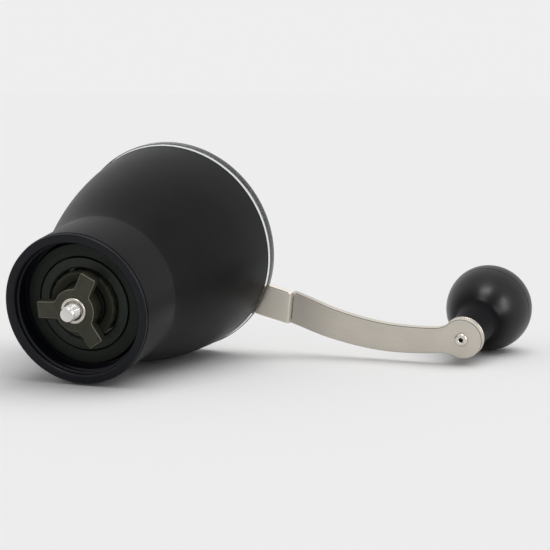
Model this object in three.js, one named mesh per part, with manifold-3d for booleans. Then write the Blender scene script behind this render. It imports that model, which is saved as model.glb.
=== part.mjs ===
// Hand-cranked conical burr coffee grinder head: hopper, clear lid, burrs, adjusting nut, curved crank, knob.
// Millimetres. +Z runs up the shaft from the jar mouth to the lid, +X from the shaft to the knob at rest.
// The origin lies on the shaft's axis in the plane of the collar's mouth.
import * as THREE from "three";
import { mergeVertices } from "three/addons/utils/BufferGeometryUtils.js";
import Module from "manifold-3d";

const wasm = await Module();
wasm.setup();

// Clearances shared by neighbours
const seatGap = 0.05;
const pressGap = 0.1;
const runningGap = 0.08;
const slipGap = 0.2;

// Jar collar
const collarRadius = 31.2;
const collarLip = 1.5;
const collarHeight = 13;
const collarEdge = 0.7;
const mouthRadius = 27.3;
const mouthChamfer = 0.6;
const mouthStepDepth = 6.5;
const reliefDepth = 0.6;
const collarLedgeRadius = 25.8;
const collarLedgeThickness = 1.6;
const collarSpigotRadius = 29.2;
const collarSpigotHeight = 3;
const collarSpigotWall = 1.6;
const threadCrest = 0.8;
const threadPitch = 3.2;
const threadTurns = 1.25;
const threadStart = 1.7;

// Hopper shell
const hopperTop = 94.4;
const hopperWall = 2.4;
const hopperNeckRadius = 31.4;
const hopperNeckTop = 27.4;
const hopperFlareOut = 1.9;
const hopperFlareUp = 10.2;
const hopperShoulderRadius = 43.9;
const hopperRimRadius = 46.1;
const hopperRimPull = 35.5;
const hopperLipEdge = 0.5;
const sleeveWall = 2.2;
const ledgeHeight = 31;
const ledgeThickness = 7;
const ledgeInnerRadius = 27;
const funnelFloorThickness = 2.6;

// Outer burr and its retaining ring
const jarSeatDepth = 8.5;
const retainerRadius = 25.05;
const retainerPlate = 3.1;
const retainerSkirtHeight = 6.5;
const retainerBurrGap = 0.6;
const burrFaceRadius = 19.3;
const burrShoulderRadius = 20.8;
const burrFaceRecess = 0.3;
const outerBurrHeight = 15;
const outerBurrMouthRadius = 15.5;
const outerLandRadius = 14.9;
const outerLandStart = 0.8;
const outerLandEnd = 8;
const outerBurrTopRadius = 17.9;
const outerBurrEdge = 0.6;
const outerBurrTeeth = 24;
const outerToothDepth = 0.3;

// Inner burr and its carrier
const innerBurrRadius = 14.25;
const innerLandTaper = 0.25;
const innerLandEnd = 9;
const innerBurrTopRadius = 8.6;
const innerBurrHeight = 17.5;
const innerBurrRise = 1.5;
const innerBurrEdge = 0.8;
const innerBurrTeeth = 20;
const innerToothDepth = 0.3;
const feedLobes = 5;
const feedLobeDepth = 1.5;
const burrRecessRadius = 12.7;
const burrRecessDepth = 2.2;
const carrierHubRadius = 8.6;
const carrierHubLength = 1;
const carrierFlange = 2;
const carrierFlangeRadius = 9.4;
const carrierBodyRadius = 6.1;
const carrierTopStand = 1;

// Adjusting nut
const nutFace = -1.1;
const wingTipRadius = 16.2;
const wingWidth = 7;
const wingThickness = 4.2;
const wingCorner = 0.8;
const nutHubRadius = 8.8;
const nutCollarStep = 0.1;
const nutTurn = 42;
const insertRadius = 5.4;
const insertStand = 0.6;
const insertChamfer = 0.7;

// Main shaft
const shaftRadius = 4;
const threadRadius = 3.2;
const shaftTipStand = 6.1;
const shaftTipEdge = 0.5;
const flatsHalfWidth = 3.3;
const hexAcrossFlats = 8;
const clipThickness = 1;
const clipGrooveDepth = 0.5;
const clipRadius = 6.2;
const thrustWasherThickness = 1.2;
const thrustWasherRadius = 7;

// Bearing spider inside the hopper
const spiderRingWall = 5.4;
const spiderRingHeight = 3;
const spiderArmWidth = 5;
const spiderArmHeight = 4.2;
const spiderArms = 3;
const towerRadius = 7.4;
const towerBelow = 10;
const towerAbove = 14;
const bushWall = 1.4;
const bushLength = 7;
const bushFlange = 1;
const bushFlangeRadius = 6.9;
const screwHeadRadius = 2.6;
const screwHeadHeight = 1.8;
const screwShankRadius = 1.35;
const screwLength = 5.6;
const screwSlotWidth = 0.8;

// Burr spring
const springWireRadius = 0.45;
const springCoilRadius = 5.6;
const springTurns = 3.5;

// Clear lid
const lidRadius = 46.8;
const lidRimHeight = 5;
const lidPlate = 2.2;
const lidSkirtDepth = 4.6;
const lidSkirtWall = 2;
const lidEdge = 0.5;
const lidGrooveDepth = 1.4;
const lidGrooveHeight = 0.6;
const lidBossRadius = 8.5;
const lidBossDepth = 2.4;
const lidHoleGap = 0.7;

// Crank arm
const armThickness = 3.4;
const armLidGap = 1.6;
const armRise = 2.4;
const armStepAt = 58.4;
const armStepLength = 0.6;
const armReach = 134.3;
const armHubRadius = 11.6;
const armRootWidth = 14.8;
const armTipWidth = 10.2;
const armBow = 13.15;
const armEyeRadius = 8.75;
const armEyeFillet = 12;
const armChamfer = 0.35;
const hubFlangeRadius = 10;
const hubFlangeHeight = 2;
const hubBodyRadius = 8.2;
const hubSpigotRadius = 7.2;
const hubHeight = 8;
const hubCapHeight = 3.2;
const hubCapPlug = 1.2;

// Knob and its spindle
const rivetRadius = 2.85;
const rivetStand = 1.6;
const rivetDimpleRadius = 0.95;
const rivetDimpleDepth = 3;
const spindleRadius = 3.6;
const spindleShoulderRadius = 5.2;
const spindleShoulderHeight = 1;
const spindleTipStand = 2;
const knobWasherRadius = 9;
const knobWasherThickness = 0.9;
const knobNeckRadius = 7.6;
const knobNeckSpread = 3;
const knobNeckBlend = 6;
const knobRadius = 19.2;
const knobBodyHeight = 43.15;
const knobDropHeight = 23;
const knobDomeHeight = 15.5;
const knobSeamDrop = 3.2;
const knobSeamEdge = 0.3;
const knobBushLength = 31;
const knobBushWall = 1.5;
const knobPocketRadius = 8.8;
const capPlugDepth = 3;

// Points of the arm's bow from the shaft to the knob: share of the reach, share of the bow
const bowPlaces = [[0, 0], [0.149, 0.63], [0.283, 0.913], [0.432, 0.918], [0.581, 1], [0.737, 0.867], [0.879, 0.494], [1, 0]];

// Facet counts
const fineTurn = 40;
const turn = 32;
const smallTurn = 24;

// Levels worked out from the sizes above
const sleeveBottom = jarSeatDepth + retainerPlate + seatGap;
const outerBurrFace = jarSeatDepth - burrFaceRecess;
const outerBurrTop = sleeveBottom + outerBurrHeight;
const throat = outerBurrTop + seatGap;
const ledgeTop = collarHeight + ledgeHeight;
const ledgeOuterRadius = bowlRadius(ledgeTop) - hopperWall;
const innerBurrFace = outerBurrFace - innerBurrRise;
const innerBurrTop = innerBurrFace + innerBurrHeight;
const recessRoof = innerBurrFace + burrRecessDepth;
const carrierBottom = recessRoof - carrierFlange - seatGap - carrierHubLength;
const carrierTop = innerBurrTop + carrierTopStand;
const nutTop = carrierBottom - seatGap;
const insertBottom = nutFace - insertStand;
const shaftBottom = nutFace - shaftTipStand;
const spiderSeat = ledgeTop + seatGap;
const towerBottom = spiderSeat - towerBelow;
const towerTop = spiderSeat + towerAbove;
const washerTop = towerBottom - bushFlange - 2 * seatGap;
const springTop = washerTop - thrustWasherThickness - seatGap;
const clipBottom = towerTop + bushFlange + 2 * seatGap;
const lidSeat = hopperTop + slipGap;
const lidTop = lidSeat + lidRimHeight;
const armUnderside = lidTop + armLidGap;
const eyeUnderside = armUnderside + armRise;
const armTop = armUnderside + armThickness;
const eyeTop = eyeUnderside + armThickness;
const shaftTop = armTop + hubHeight - hubCapPlug - slipGap;
const hexCornerRadius = hexAcrossFlats / Math.sqrt(3);
const bushOuterRadius = shaftRadius + runningGap + bushWall;
const washerSeat = eyeTop + seatGap;
const knobBase = washerSeat + Math.max(knobWasherThickness, spindleShoulderHeight) + slipGap;
const knobWidest = knobBase + knobBodyHeight;
const knobSeam = knobWidest - knobSeamDrop;
const knobBoreRadius = spindleRadius + runningGap + knobBushWall + pressGap;
const knobClipBottom = knobBase + knobBushLength + slipGap;

// Radius of the hopper's outside at height z: a straight neck, a crease, then a swell over the shoulder to the rim
function bowlRadius(z) {
  if (z <= hopperNeckTop) return hopperNeckRadius;
  const curve = new THREE.CubicBezierCurve(
    new THREE.Vector2(hopperNeckRadius, hopperNeckTop),
    new THREE.Vector2(hopperNeckRadius + hopperFlareOut, hopperNeckTop + hopperFlareUp),
    new THREE.Vector2(hopperShoulderRadius, hopperTop - hopperRimPull),
    new THREE.Vector2(hopperRimRadius, hopperTop),
  );
  let low = 0;
  let high = 1;
  for (let i = 0; i < 30; i++) {
    const middle = (low + high) / 2;
    if (curve.getPoint(middle).y < z) low = middle;
    else high = middle;
  }
  return curve.getPoint(low).x;
}

// Drops collapsed triangles and merges shared corners, so that the surface is closed
function solid(geometry) {
  const bare = geometry.clone();
  bare.deleteAttribute("normal");
  bare.deleteAttribute("uv");
  const merged = mergeVertices(bare, 1e-4);
  const index = merged.index.array;
  const triangles = [];
  for (let i = 0; i < index.length; i += 3) {
    const [a, b, c] = [index[i], index[i + 1], index[i + 2]];
    if (a !== b && b !== c && c !== a) triangles.push(a, b, c);
  }
  const mesh = new wasm.Mesh({
    numProp: 3,
    vertProperties: new Float32Array(merged.attributes.position.array),
    triVerts: new Uint32Array(triangles),
  });
  return new wasm.Manifold(mesh);
}

function surface(manifold) {
  const mesh = manifold.getMesh();
  const geometry = new THREE.BufferGeometry();
  geometry.setAttribute("position", new THREE.BufferAttribute(mesh.vertProperties, 3));
  geometry.setIndex(new THREE.BufferAttribute(mesh.triVerts, 1));
  geometry.computeVertexNormals();
  return geometry;
}

function cut(geometry, ...tools) {
  return surface(tools.reduce((body, tool) => body.subtract(solid(tool)), solid(geometry)));
}

function join(geometry, ...others) {
  return surface(others.reduce((body, other) => body.add(solid(other)), solid(geometry)));
}

// Body of revolution about Z from [radius, height] points, closed where it doesn't start and end on the axis
function revolve(points, facets) {
  let area = 0;
  points.forEach(([r, z], i) => {
    const [nextR, nextZ] = points[(i + 1) % points.length];
    area += r * nextZ - nextR * z;
  });
  const ordered = area < 0 ? [...points].reverse() : [...points];
  const onAxis = ordered.some(([r]) => r === 0);
  if (onAxis) {
    while (!(ordered[0][0] === 0 && ordered[ordered.length - 1][0] === 0)) ordered.push(ordered.shift());
  } else {
    ordered.push(ordered[0]);
  }
  const outline = ordered.map(([r, z]) => new THREE.Vector2(r, z));
  return new THREE.LatheGeometry(outline, facets).rotateX(Math.PI / 2);
}

function tube(inner, outer, low, high, facets) {
  return revolve([[inner, low], [outer, low], [outer, high], [inner, high]], facets);
}

function rod(radius, low, high, facets, x = 0, y = 0) {
  const shape = new THREE.CylinderGeometry(radius, radius, high - low, facets);
  return shape.rotateX(Math.PI / 2).translate(x, y, (low + high) / 2);
}

function block(width, depth, low, high, x, y, angle = 0) {
  const shape = new THREE.BoxGeometry(width, depth, high - low);
  return shape.translate(x, y, (low + high) / 2).rotateZ(angle);
}

function prism(shape, low, high, curveSegments = 12) {
  const options = { depth: high - low, bevelEnabled: false, curveSegments };
  return new THREE.ExtrudeGeometry(shape, options).translate(0, 0, low);
}

function polar(radius, angle) {
  return new THREE.Vector2(radius * Math.cos(angle), radius * Math.sin(angle));
}

// Closed skin over rings of points, all rings with the same count, the last joined back to the first
function ringSkin(rings) {
  const count = rings[0].length;
  const index = [];
  rings.forEach((ring, i) => {
    const next = (i + 1) % rings.length;
    for (let j = 0; j < count; j++) {
      const after = (j + 1) % count;
      const [a, b, c, d] = [i * count + j, i * count + after, next * count + after, next * count + j];
      index.push(a, b, c, a, c, d);
    }
  });
  const geometry = new THREE.BufferGeometry();
  geometry.setAttribute("position", new THREE.Float32BufferAttribute(rings.flat(2), 3));
  geometry.setIndex(index);
  return geometry;
}

// The collar's lip shows in front of the hopper's neck; the rest of it sits inside the neck
function collarProfile() {
  return [
    [collarRadius - collarEdge, 0],
    [collarRadius, collarEdge],
    [collarRadius, collarLip],
    [collarSpigotRadius, collarLip],
    [collarSpigotRadius, collarHeight + collarSpigotHeight],
    [collarSpigotRadius - collarSpigotWall, collarHeight + collarSpigotHeight],
    [collarLedgeRadius, collarHeight - seatGap],
    [collarLedgeRadius, collarHeight - collarLedgeThickness],
    [mouthRadius + reliefDepth, collarHeight - collarLedgeThickness],
    [mouthRadius + reliefDepth, mouthStepDepth + reliefDepth],
    [mouthRadius, mouthStepDepth],
    [mouthRadius, mouthChamfer],
    [mouthRadius + mouthChamfer, 0],
  ];
}

// Helical thread ridge inside the collar, sunk into the wall it is joined to
class ThreadPath extends THREE.Curve {
  getPoint(t, target = new THREE.Vector3()) {
    const angle = 2 * Math.PI * threadTurns * t;
    const inset = Math.sin(Math.PI * Math.min(1, Math.max(0, t))) ** 0.25;
    const reach = mouthRadius + 0.4 - threadCrest * inset;
    return target.set(reach * Math.cos(angle), reach * Math.sin(angle), threadStart + threadPitch * threadTurns * t);
  }
}

function collarGeometry() {
  const section = new THREE.Shape(
    [0, 1, 2, 3, 4].map((k) => polar(0.75, (k * 2 * Math.PI) / 5)),
  );
  const path = new ThreadPath();
  const ridge = new THREE.ExtrudeGeometry(section, { steps: 30, extrudePath: path, curveSegments: 1 });
  return join(revolve(collarProfile(), fineTurn), ridge);
}

function hopperGeometry() {
  const neckFoot = collarLip + seatGap;
  const levels = 9;
  const outside = [[hopperNeckRadius, neckFoot]];
  const inside = [];
  for (let i = 0; i <= levels; i++) {
    const z = hopperNeckTop + ((hopperTop - hopperNeckTop) * i) / levels;
    outside.push([bowlRadius(z), z]);
  }
  const bowlLevels = 6;
  for (let i = 0; i <= bowlLevels; i++) {
    const z = hopperTop - ((hopperTop - ledgeTop) * i) / bowlLevels;
    inside.push([bowlRadius(z) - hopperWall, z]);
  }
  outside.pop();
  outside.push([hopperRimRadius, hopperTop - hopperLipEdge], [hopperRimRadius - hopperLipEdge, hopperTop]);
  const sleeveBore = burrShoulderRadius + slipGap;
  const sleeveOutside = sleeveBore + sleeveWall;
  const ledgeUnderside = ledgeTop - ledgeThickness;
  const skirtLevels = 2;
  const skirt = [];
  for (let i = 0; i <= skirtLevels; i++) {
    const z = ledgeUnderside - ((ledgeUnderside - hopperNeckTop) * i) / skirtLevels;
    skirt.push([bowlRadius(z) - hopperWall, z]);
  }
  const socketTop = collarHeight + collarSpigotHeight + slipGap;
  const socketRadius = collarSpigotRadius + pressGap;
  skirt.push([hopperNeckRadius - hopperWall, socketTop], [socketRadius, socketTop], [socketRadius, neckFoot]);
  const profile = [
    ...outside,
    ...inside,
    [ledgeInnerRadius, ledgeTop],
    [outerBurrTopRadius + slipGap, throat + 1],
    [outerBurrTopRadius + slipGap, throat],
    [sleeveBore, throat],
    [sleeveBore, sleeveBottom],
    [sleeveOutside, sleeveBottom],
    [sleeveOutside, throat - funnelFloorThickness],
    [ledgeInnerRadius + funnelFloorThickness / 2, ledgeUnderside],
    ...skirt,
  ];
  const holes = screwPlaces().map(([x, y]) => {
    const bottom = spiderSeat + spiderRingHeight - screwLength - slipGap;
    return rod(screwShankRadius + pressGap, bottom, ledgeTop + 1, 12, x, y);
  });
  return cut(revolve(profile, fineTurn), ...holes);
}

function retainerGeometry() {
  const skirtInside = burrShoulderRadius + slipGap + sleeveWall + pressGap;
  return revolve(
    [
      [burrFaceRadius + retainerBurrGap, jarSeatDepth],
      [retainerRadius, jarSeatDepth],
      [retainerRadius, sleeveBottom + retainerSkirtHeight],
      [skirtInside, sleeveBottom + retainerSkirtHeight],
      [skirtInside, sleeveBottom - seatGap],
      [burrFaceRadius + retainerBurrGap, sleeveBottom - seatGap],
    ],
    fineTurn,
  );
}

// Ring of stations whose wall toward the bean path is toothed, each tooth a ridge that leans as it climbs
function toothedRing(stations, teeth, samples, lean, depthAt) {
  const count = teeth * samples;
  return ringSkin(
    stations.map(([radius, z, toothed]) => {
      const ring = [];
      for (let j = 0; j < count; j++) {
        const angle = (2 * Math.PI * j) / count;
        const phase = j / samples - lean * (z - stations[0][1]);
        const ridge = toothed ? depthAt(z, phase - Math.floor(phase), angle) : 0;
        const reach = radius + ridge;
        ring.push([reach * Math.cos(angle), reach * Math.sin(angle), z]);
      }
      return ring;
    }),
  );
}

function outerBurrGeometry() {
  const wallLevels = 2;
  const cone = [];
  const coneBottom = outerBurrFace + outerLandEnd;
  for (let i = 0; i <= wallLevels; i++) {
    const share = i / wallLevels;
    const radius = outerLandRadius + (outerBurrTopRadius - outerLandRadius) * share;
    cone.push([radius, coneBottom + (outerBurrTop - outerBurrEdge - coneBottom) * share, true]);
  }
  const stations = [
    [outerLandRadius, outerBurrFace + outerLandStart, true],
    ...cone,
    [outerBurrTopRadius + outerBurrEdge, outerBurrTop, false],
    [burrShoulderRadius, outerBurrTop, false],
    [burrShoulderRadius, sleeveBottom + seatGap, false],
    [burrFaceRadius, sleeveBottom + seatGap, false],
    [burrFaceRadius, outerBurrFace, false],
    [outerBurrMouthRadius, outerBurrFace, false],
  ];
  const saw = (z, phase) => -outerToothDepth * (1 - phase);
  return toothedRing(stations.reverse(), outerBurrTeeth, 2, 0.09, saw);
}

function innerBurrGeometry() {
  const wallLevels = 4;
  const side = [[innerBurrRadius, innerBurrFace + innerBurrEdge, true]];
  const landTop = innerBurrFace + innerLandEnd;
  const landRadius = innerBurrRadius - innerLandTaper;
  for (let i = 0; i <= wallLevels; i++) {
    const share = i / wallLevels;
    const swell = 1 - share ** 1.3;
    const radius = innerBurrTopRadius + (landRadius - innerBurrTopRadius) * swell;
    side.push([radius, landTop + (innerBurrTop - innerBurrEdge - landTop) * share, true]);
  }
  const boreRadius = carrierBodyRadius + pressGap;
  const stations = [
    [innerBurrRadius - innerBurrEdge, innerBurrFace, false],
    ...side,
    [innerBurrTopRadius - innerBurrEdge, innerBurrTop, false],
    [boreRadius, innerBurrTop, false],
    [boreRadius, recessRoof, false],
    [carrierFlangeRadius + slipGap, recessRoof, false],
    [burrRecessRadius, innerBurrFace, false],
  ];
  const blades = (z, phase, angle) => {
    const share = Math.max(0, (z - landTop) / (innerBurrTop - landTop));
    const sweep = feedLobes * angle - 2.4 * share * Math.PI;
    const lobe = 0.5 - 0.5 * Math.cos(sweep);
    return -innerToothDepth * phase * (1 - share) - feedLobeDepth * lobe * share;
  };
  return toothedRing(stations, innerBurrTeeth, 2, 0.1, blades);
}

// Round section with two flats, which keys the shaft to the burr carrier
function flattedShape(radius, halfWidth) {
  const rise = Math.acos(halfWidth / radius);
  const shape = new THREE.Shape();
  shape.absarc(0, 0, radius, rise, Math.PI - rise, false);
  shape.absarc(0, 0, radius, Math.PI + rise, 2 * Math.PI - rise, false);
  return shape;
}

function carrierGeometry() {
  const flangeBottom = recessRoof - carrierFlange - seatGap;
  const body = revolve(
    [
      [0, carrierBottom],
      [carrierHubRadius, carrierBottom],
      [carrierHubRadius, flangeBottom],
      [carrierFlangeRadius, flangeBottom],
      [carrierFlangeRadius, recessRoof - seatGap],
      [carrierBodyRadius, recessRoof - seatGap],
      [carrierBodyRadius, carrierTop],
      [0, carrierTop],
    ],
    turn,
  );
  const key = flattedShape(shaftRadius + pressGap, flatsHalfWidth + pressGap);
  return cut(body, prism(key, carrierBottom - 1, carrierTop + 1, 12));
}

// Outline of the nut: three square wings on a round hub
function nutShape() {
  const shape = new THREE.Shape();
  const rootAngle = Math.asin(wingWidth / 2 / nutHubRadius);
  const half = wingWidth / 2;
  for (let k = 0; k < 3; k++) {
    const heading = ((nutTurn + 120 * k) * Math.PI) / 180;
    const place = (along, across) => {
      const c = Math.cos(heading);
      const s = Math.sin(heading);
      return [along * c - across * s, along * s + across * c];
    };
    const root = nutHubRadius * Math.cos(rootAngle);
    if (k === 0) shape.moveTo(...place(root, -half));
    else shape.lineTo(...place(root, -half));
    shape.lineTo(...place(wingTipRadius - wingCorner, -half));
    shape.quadraticCurveTo(...place(wingTipRadius, -half), ...place(wingTipRadius, wingCorner - half));
    shape.lineTo(...place(wingTipRadius, half - wingCorner));
    shape.quadraticCurveTo(...place(wingTipRadius, half), ...place(wingTipRadius - wingCorner, half));
    shape.lineTo(...place(root, half));
    const sweep = (2 * Math.PI) / 3 - rootAngle;
    shape.absarc(0, 0, nutHubRadius, heading + rootAngle, heading + sweep, false);
  }
  return shape;
}

function nutGeometry() {
  const bore = rod(insertRadius + pressGap, nutFace - 1, nutTop + 1, smallTurn);
  const collar = rod(nutHubRadius - nutCollarStep, nutFace + wingThickness / 2, nutTop, turn);
  return cut(join(prism(nutShape(), nutFace, nutFace + wingThickness, 6), collar), bore);
}

function insertGeometry() {
  const bore = threadRadius + pressGap;
  return revolve(
    [
      [bore + insertChamfer, insertBottom],
      [insertRadius - 0.2, insertBottom],
      [insertRadius, insertBottom + 0.2],
      [insertRadius, nutTop - seatGap],
      [bore, nutTop - seatGap],
      [bore, insertBottom + insertChamfer],
    ],
    smallTurn,
  );
}

function shaftGeometry() {
  const groove = shaftRadius - clipGrooveDepth;
  const clipTop = clipBottom + clipThickness;
  const body = revolve(
    [
      [0, shaftBottom],
      [threadRadius - shaftTipEdge, shaftBottom],
      [threadRadius, shaftBottom + shaftTipEdge],
      [threadRadius, nutTop],
      [shaftRadius, nutTop],
      [shaftRadius, clipBottom - seatGap],
      [groove, clipBottom - seatGap],
      [groove, clipTop + seatGap],
      [shaftRadius, clipTop + seatGap],
      [shaftRadius, armUnderside - armLidGap],
      [0, armUnderside - armLidGap],
    ],
    turn,
  );
  const flats = [-1, 1].map((side) => {
    const offset = side * (flatsHalfWidth + shaftRadius);
    return block(2 * shaftRadius, 3 * shaftRadius, nutTop - 1, springTop, offset, 0);
  });
  const hexBottom = armUnderside - armLidGap;
  const hex = new THREE.CylinderGeometry(hexCornerRadius, hexCornerRadius, shaftTop - hexBottom, 6);
  hex.rotateX(Math.PI / 2).translate(0, 0, (shaftTop + hexBottom) / 2);
  return join(cut(body, ...flats), hex);
}

// Three-legged bridge: a tower for the shaft's bushes on legs that stand on a screwed ring
function spiderGeometry() {
  const ringOutside = ledgeOuterRadius - slipGap;
  const ringInside = ringOutside - spiderRingWall;
  const bore = shaftRadius + 1;
  const socket = bushOuterRadius + pressGap;
  const ring = tube(ringInside, ringOutside, spiderSeat, spiderSeat + spiderRingHeight, fineTurn);
  const tower = revolve([[0, towerBottom], [towerRadius, towerBottom], [towerRadius, towerTop], [0, towerTop]], turn);
  const arms = [];
  for (let k = 0; k < spiderArms; k++) {
    const length = ringInside + spiderRingWall / 2;
    const angle = (2 * Math.PI * k) / spiderArms + Math.PI / 6;
    arms.push(block(length, spiderArmWidth, spiderSeat, spiderSeat + spiderArmHeight, length / 2, 0, angle));
  }
  const sockets = [
    rod(bore, towerBottom - 1, towerTop + 1, smallTurn),
    rod(socket, towerBottom - 1, towerBottom + bushLength, smallTurn),
    rod(socket, towerTop - bushLength, towerTop + 1, smallTurn),
  ];
  const holes = screwPlaces().map(([x, y]) => {
    return rod(screwShankRadius + slipGap, spiderSeat - 1, spiderSeat + spiderArmHeight + 1, 12, x, y);
  });
  return cut(join(ring, tower, ...arms), ...sockets, ...holes);
}

function screwPlaces() {
  const radius = ledgeOuterRadius - slipGap - spiderRingWall / 2;
  const places = [];
  for (let k = 0; k < spiderArms; k++) {
    const angle = (2 * Math.PI * k) / spiderArms + Math.PI / 2;
    places.push([radius * Math.cos(angle), radius * Math.sin(angle)]);
  }
  return places;
}

// Flanged bush that stands on the plane z = 0 with its flange underneath
function bushGeometry() {
  const bore = shaftRadius + runningGap;
  const length = bushLength - slipGap;
  return revolve(
    [[bore, 0], [bushFlangeRadius, 0], [bushFlangeRadius, bushFlange], [bushOuterRadius, bushFlange],
      [bushOuterRadius, bushFlange + length], [bore, bushFlange + length]],
    smallTurn,
  );
}

function screwGeometry() {
  const head = revolve(
    [
      [0, -screwLength],
      [screwShankRadius * 0.5, -screwLength],
      [screwShankRadius, 1 - screwLength],
      [screwShankRadius, 0],
      [screwHeadRadius, 0],
      [screwHeadRadius, screwHeadHeight * 0.55],
      [screwHeadRadius * 0.7, screwHeadHeight],
      [0, screwHeadHeight],
    ],
    10,
  );
  const slots = [0, Math.PI / 2].map((angle) => {
    return block(screwHeadRadius * 1.3, screwSlotWidth, screwHeadHeight * 0.45, screwHeadHeight + 1, 0, 0, angle);
  });
  return cut(head, ...slots);
}

class SpringPath extends THREE.Curve {
  constructor(low, high) {
    super();
    this.low = low;
    this.high = high;
  }

  getPoint(t, target = new THREE.Vector3()) {
    const angle = 2 * Math.PI * springTurns * t;
    const z = this.low + (this.high - this.low) * t;
    return target.set(springCoilRadius * Math.cos(angle), springCoilRadius * Math.sin(angle), z);
  }
}

function springGeometry() {
  const low = carrierTop + springWireRadius + slipGap;
  const high = springTop - springWireRadius - slipGap;
  const pitch = (high - low) / springTurns;
  console.log("burr spring: gap between turns", (pitch - 2 * springWireRadius).toFixed(2), "mm");
  const section = new THREE.Shape([0, 1, 2, 3, 4].map((k) => polar(springWireRadius, (k * 2 * Math.PI) / 5)));
  const steps = Math.round(springTurns * 10);
  return new THREE.ExtrudeGeometry(section, { steps, extrudePath: new SpringPath(low, high), curveSegments: 1 });
}

function lidGeometry() {
  const skirtOutside = bowlRadius(lidSeat - lidSkirtDepth) - hopperWall - slipGap;
  const skirtInside = skirtOutside - lidSkirtWall;
  const hole = hexCornerRadius + lidHoleGap;
  const plateUnderside = lidTop - lidPlate;
  return revolve(
    [
      [hole, plateUnderside - lidBossDepth],
      [lidBossRadius, plateUnderside - lidBossDepth],
      [lidBossRadius, plateUnderside],
      [skirtInside, plateUnderside],
      [skirtInside, lidSeat - lidSkirtDepth],
      [skirtOutside, lidSeat - lidSkirtDepth],
      [skirtOutside, lidSeat],
      [lidRadius - lidGrooveDepth, lidSeat],
      [lidRadius - lidGrooveDepth, lidSeat + lidGrooveHeight],
      [lidRadius, lidSeat + lidGrooveHeight],
      [lidRadius, lidTop - lidEdge],
      [lidRadius - lidEdge, lidTop],
      [hole, lidTop],
    ],
    fineTurn,
  );
}

// Plan of the arm: a bow from the shaft to the knob
function armCentreline() {
  return new THREE.SplineCurve(bowPlaces.map(([along, out]) => new THREE.Vector2(armReach * along, armBow * out)));
}

// Height gained by the arm at distance x from the shaft, over its one short step
function armLift(x) {
  const share = (x - armStepAt) / armStepLength;
  return armRise * Math.min(1, Math.max(0, share));
}

// Half the arm's width at share t of its length, where its centre stands the given distance short of the eye's centre
function armHalfWidth(t, distance) {
  const half = (armRootWidth + (armTipWidth - armRootWidth) * t * t) / 2;
  const swing = armEyeRadius + armEyeFillet;
  const start = Math.sqrt(swing ** 2 - (half + armEyeFillet) ** 2);
  const end = (start * armEyeRadius) / swing;
  if (distance >= start) return half;
  const run = start - Math.max(distance, end);
  return half + armEyeFillet - Math.sqrt(armEyeFillet ** 2 - run ** 2);
}

// Shares of the arm's length at which it has a section: even steps, closer near the eye, and both edges of its step
function armStations(path) {
  const even = 30;
  const close = 12;
  const eyeShare = 0.86;
  const stations = [];
  for (let i = 0; i < even; i++) stations.push((eyeShare * i) / even);
  for (let i = 0; i <= close; i++) stations.push(eyeShare + ((1 - eyeShare) * i) / close);
  const edges = [armStepAt, armStepAt + armStepLength].map((x) => {
    let low = 0;
    let high = 1;
    for (let i = 0; i < 40; i++) {
      const middle = (low + high) / 2;
      if (path.getPoint(middle).x < x) low = middle;
      else high = middle;
    }
    return low;
  });
  const spare = stations.filter((t) => edges.every((edge) => Math.abs(t - edge) > 0.25 / even));
  return [...spare, ...edges].sort((a, b) => a - b);
}

function armGeometry() {
  const path = armCentreline();
  const rings = armStations(path).map((t) => {
    const centre = path.getPoint(t);
    const heading = path.getTangent(t);
    const half = armHalfWidth(t, armReach - centre.x);
    const lift = armUnderside + armLift(centre.x);
    const section = [
      [-half, armChamfer], [armChamfer - half, 0], [half - armChamfer, 0], [half, armChamfer],
      [half, armThickness - armChamfer], [half - armChamfer, armThickness],
      [armChamfer - half, armThickness], [-half, armThickness - armChamfer],
    ];
    return section.map(([across, up]) => {
      return [centre.x - heading.y * across, centre.y + heading.x * across, lift + up];
    });
  });
  const hub = chamferedDisc(armHubRadius, armUnderside, turn);
  const eye = chamferedDisc(armEyeRadius, eyeUnderside, turn).translate(armReach, 0, 0);
  const holes = [
    rod(hubSpigotRadius + pressGap, armUnderside - 1, armTop + 1, smallTurn),
    rod(rivetRadius + slipGap, eyeUnderside - 1, eyeTop + 1, smallTurn, armReach, 0),
  ];
  return cut(join(stripSkin(rings), hub, eye), ...holes);
}

function chamferedDisc(radius, underside, facets) {
  return revolve(
    [
      [0, underside],
      [radius - armChamfer, underside],
      [radius, underside + armChamfer],
      [radius, underside + armThickness - armChamfer],
      [radius - armChamfer, underside + armThickness],
      [0, underside + armThickness],
    ],
    facets,
  );
}

// Closed skin along a row of sections, with a flat cap at each end
function stripSkin(rings) {
  const count = rings[0].length;
  const index = [];
  for (let i = 0; i < rings.length - 1; i++) {
    for (let j = 0; j < count; j++) {
      const after = (j + 1) % count;
      const [a, b] = [i * count + j, i * count + after];
      const [c, d] = [b + count, a + count];
      index.push(a, b, c, a, c, d);
    }
  }
  const last = (rings.length - 1) * count;
  for (let j = 1; j < count - 1; j++) {
    index.push(0, j + 1, j, last, last + j, last + j + 1);
  }
  const geometry = new THREE.BufferGeometry();
  geometry.setAttribute("position", new THREE.Float32BufferAttribute(rings.flat(2), 3));
  geometry.setIndex(index);
  return geometry;
}

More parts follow.
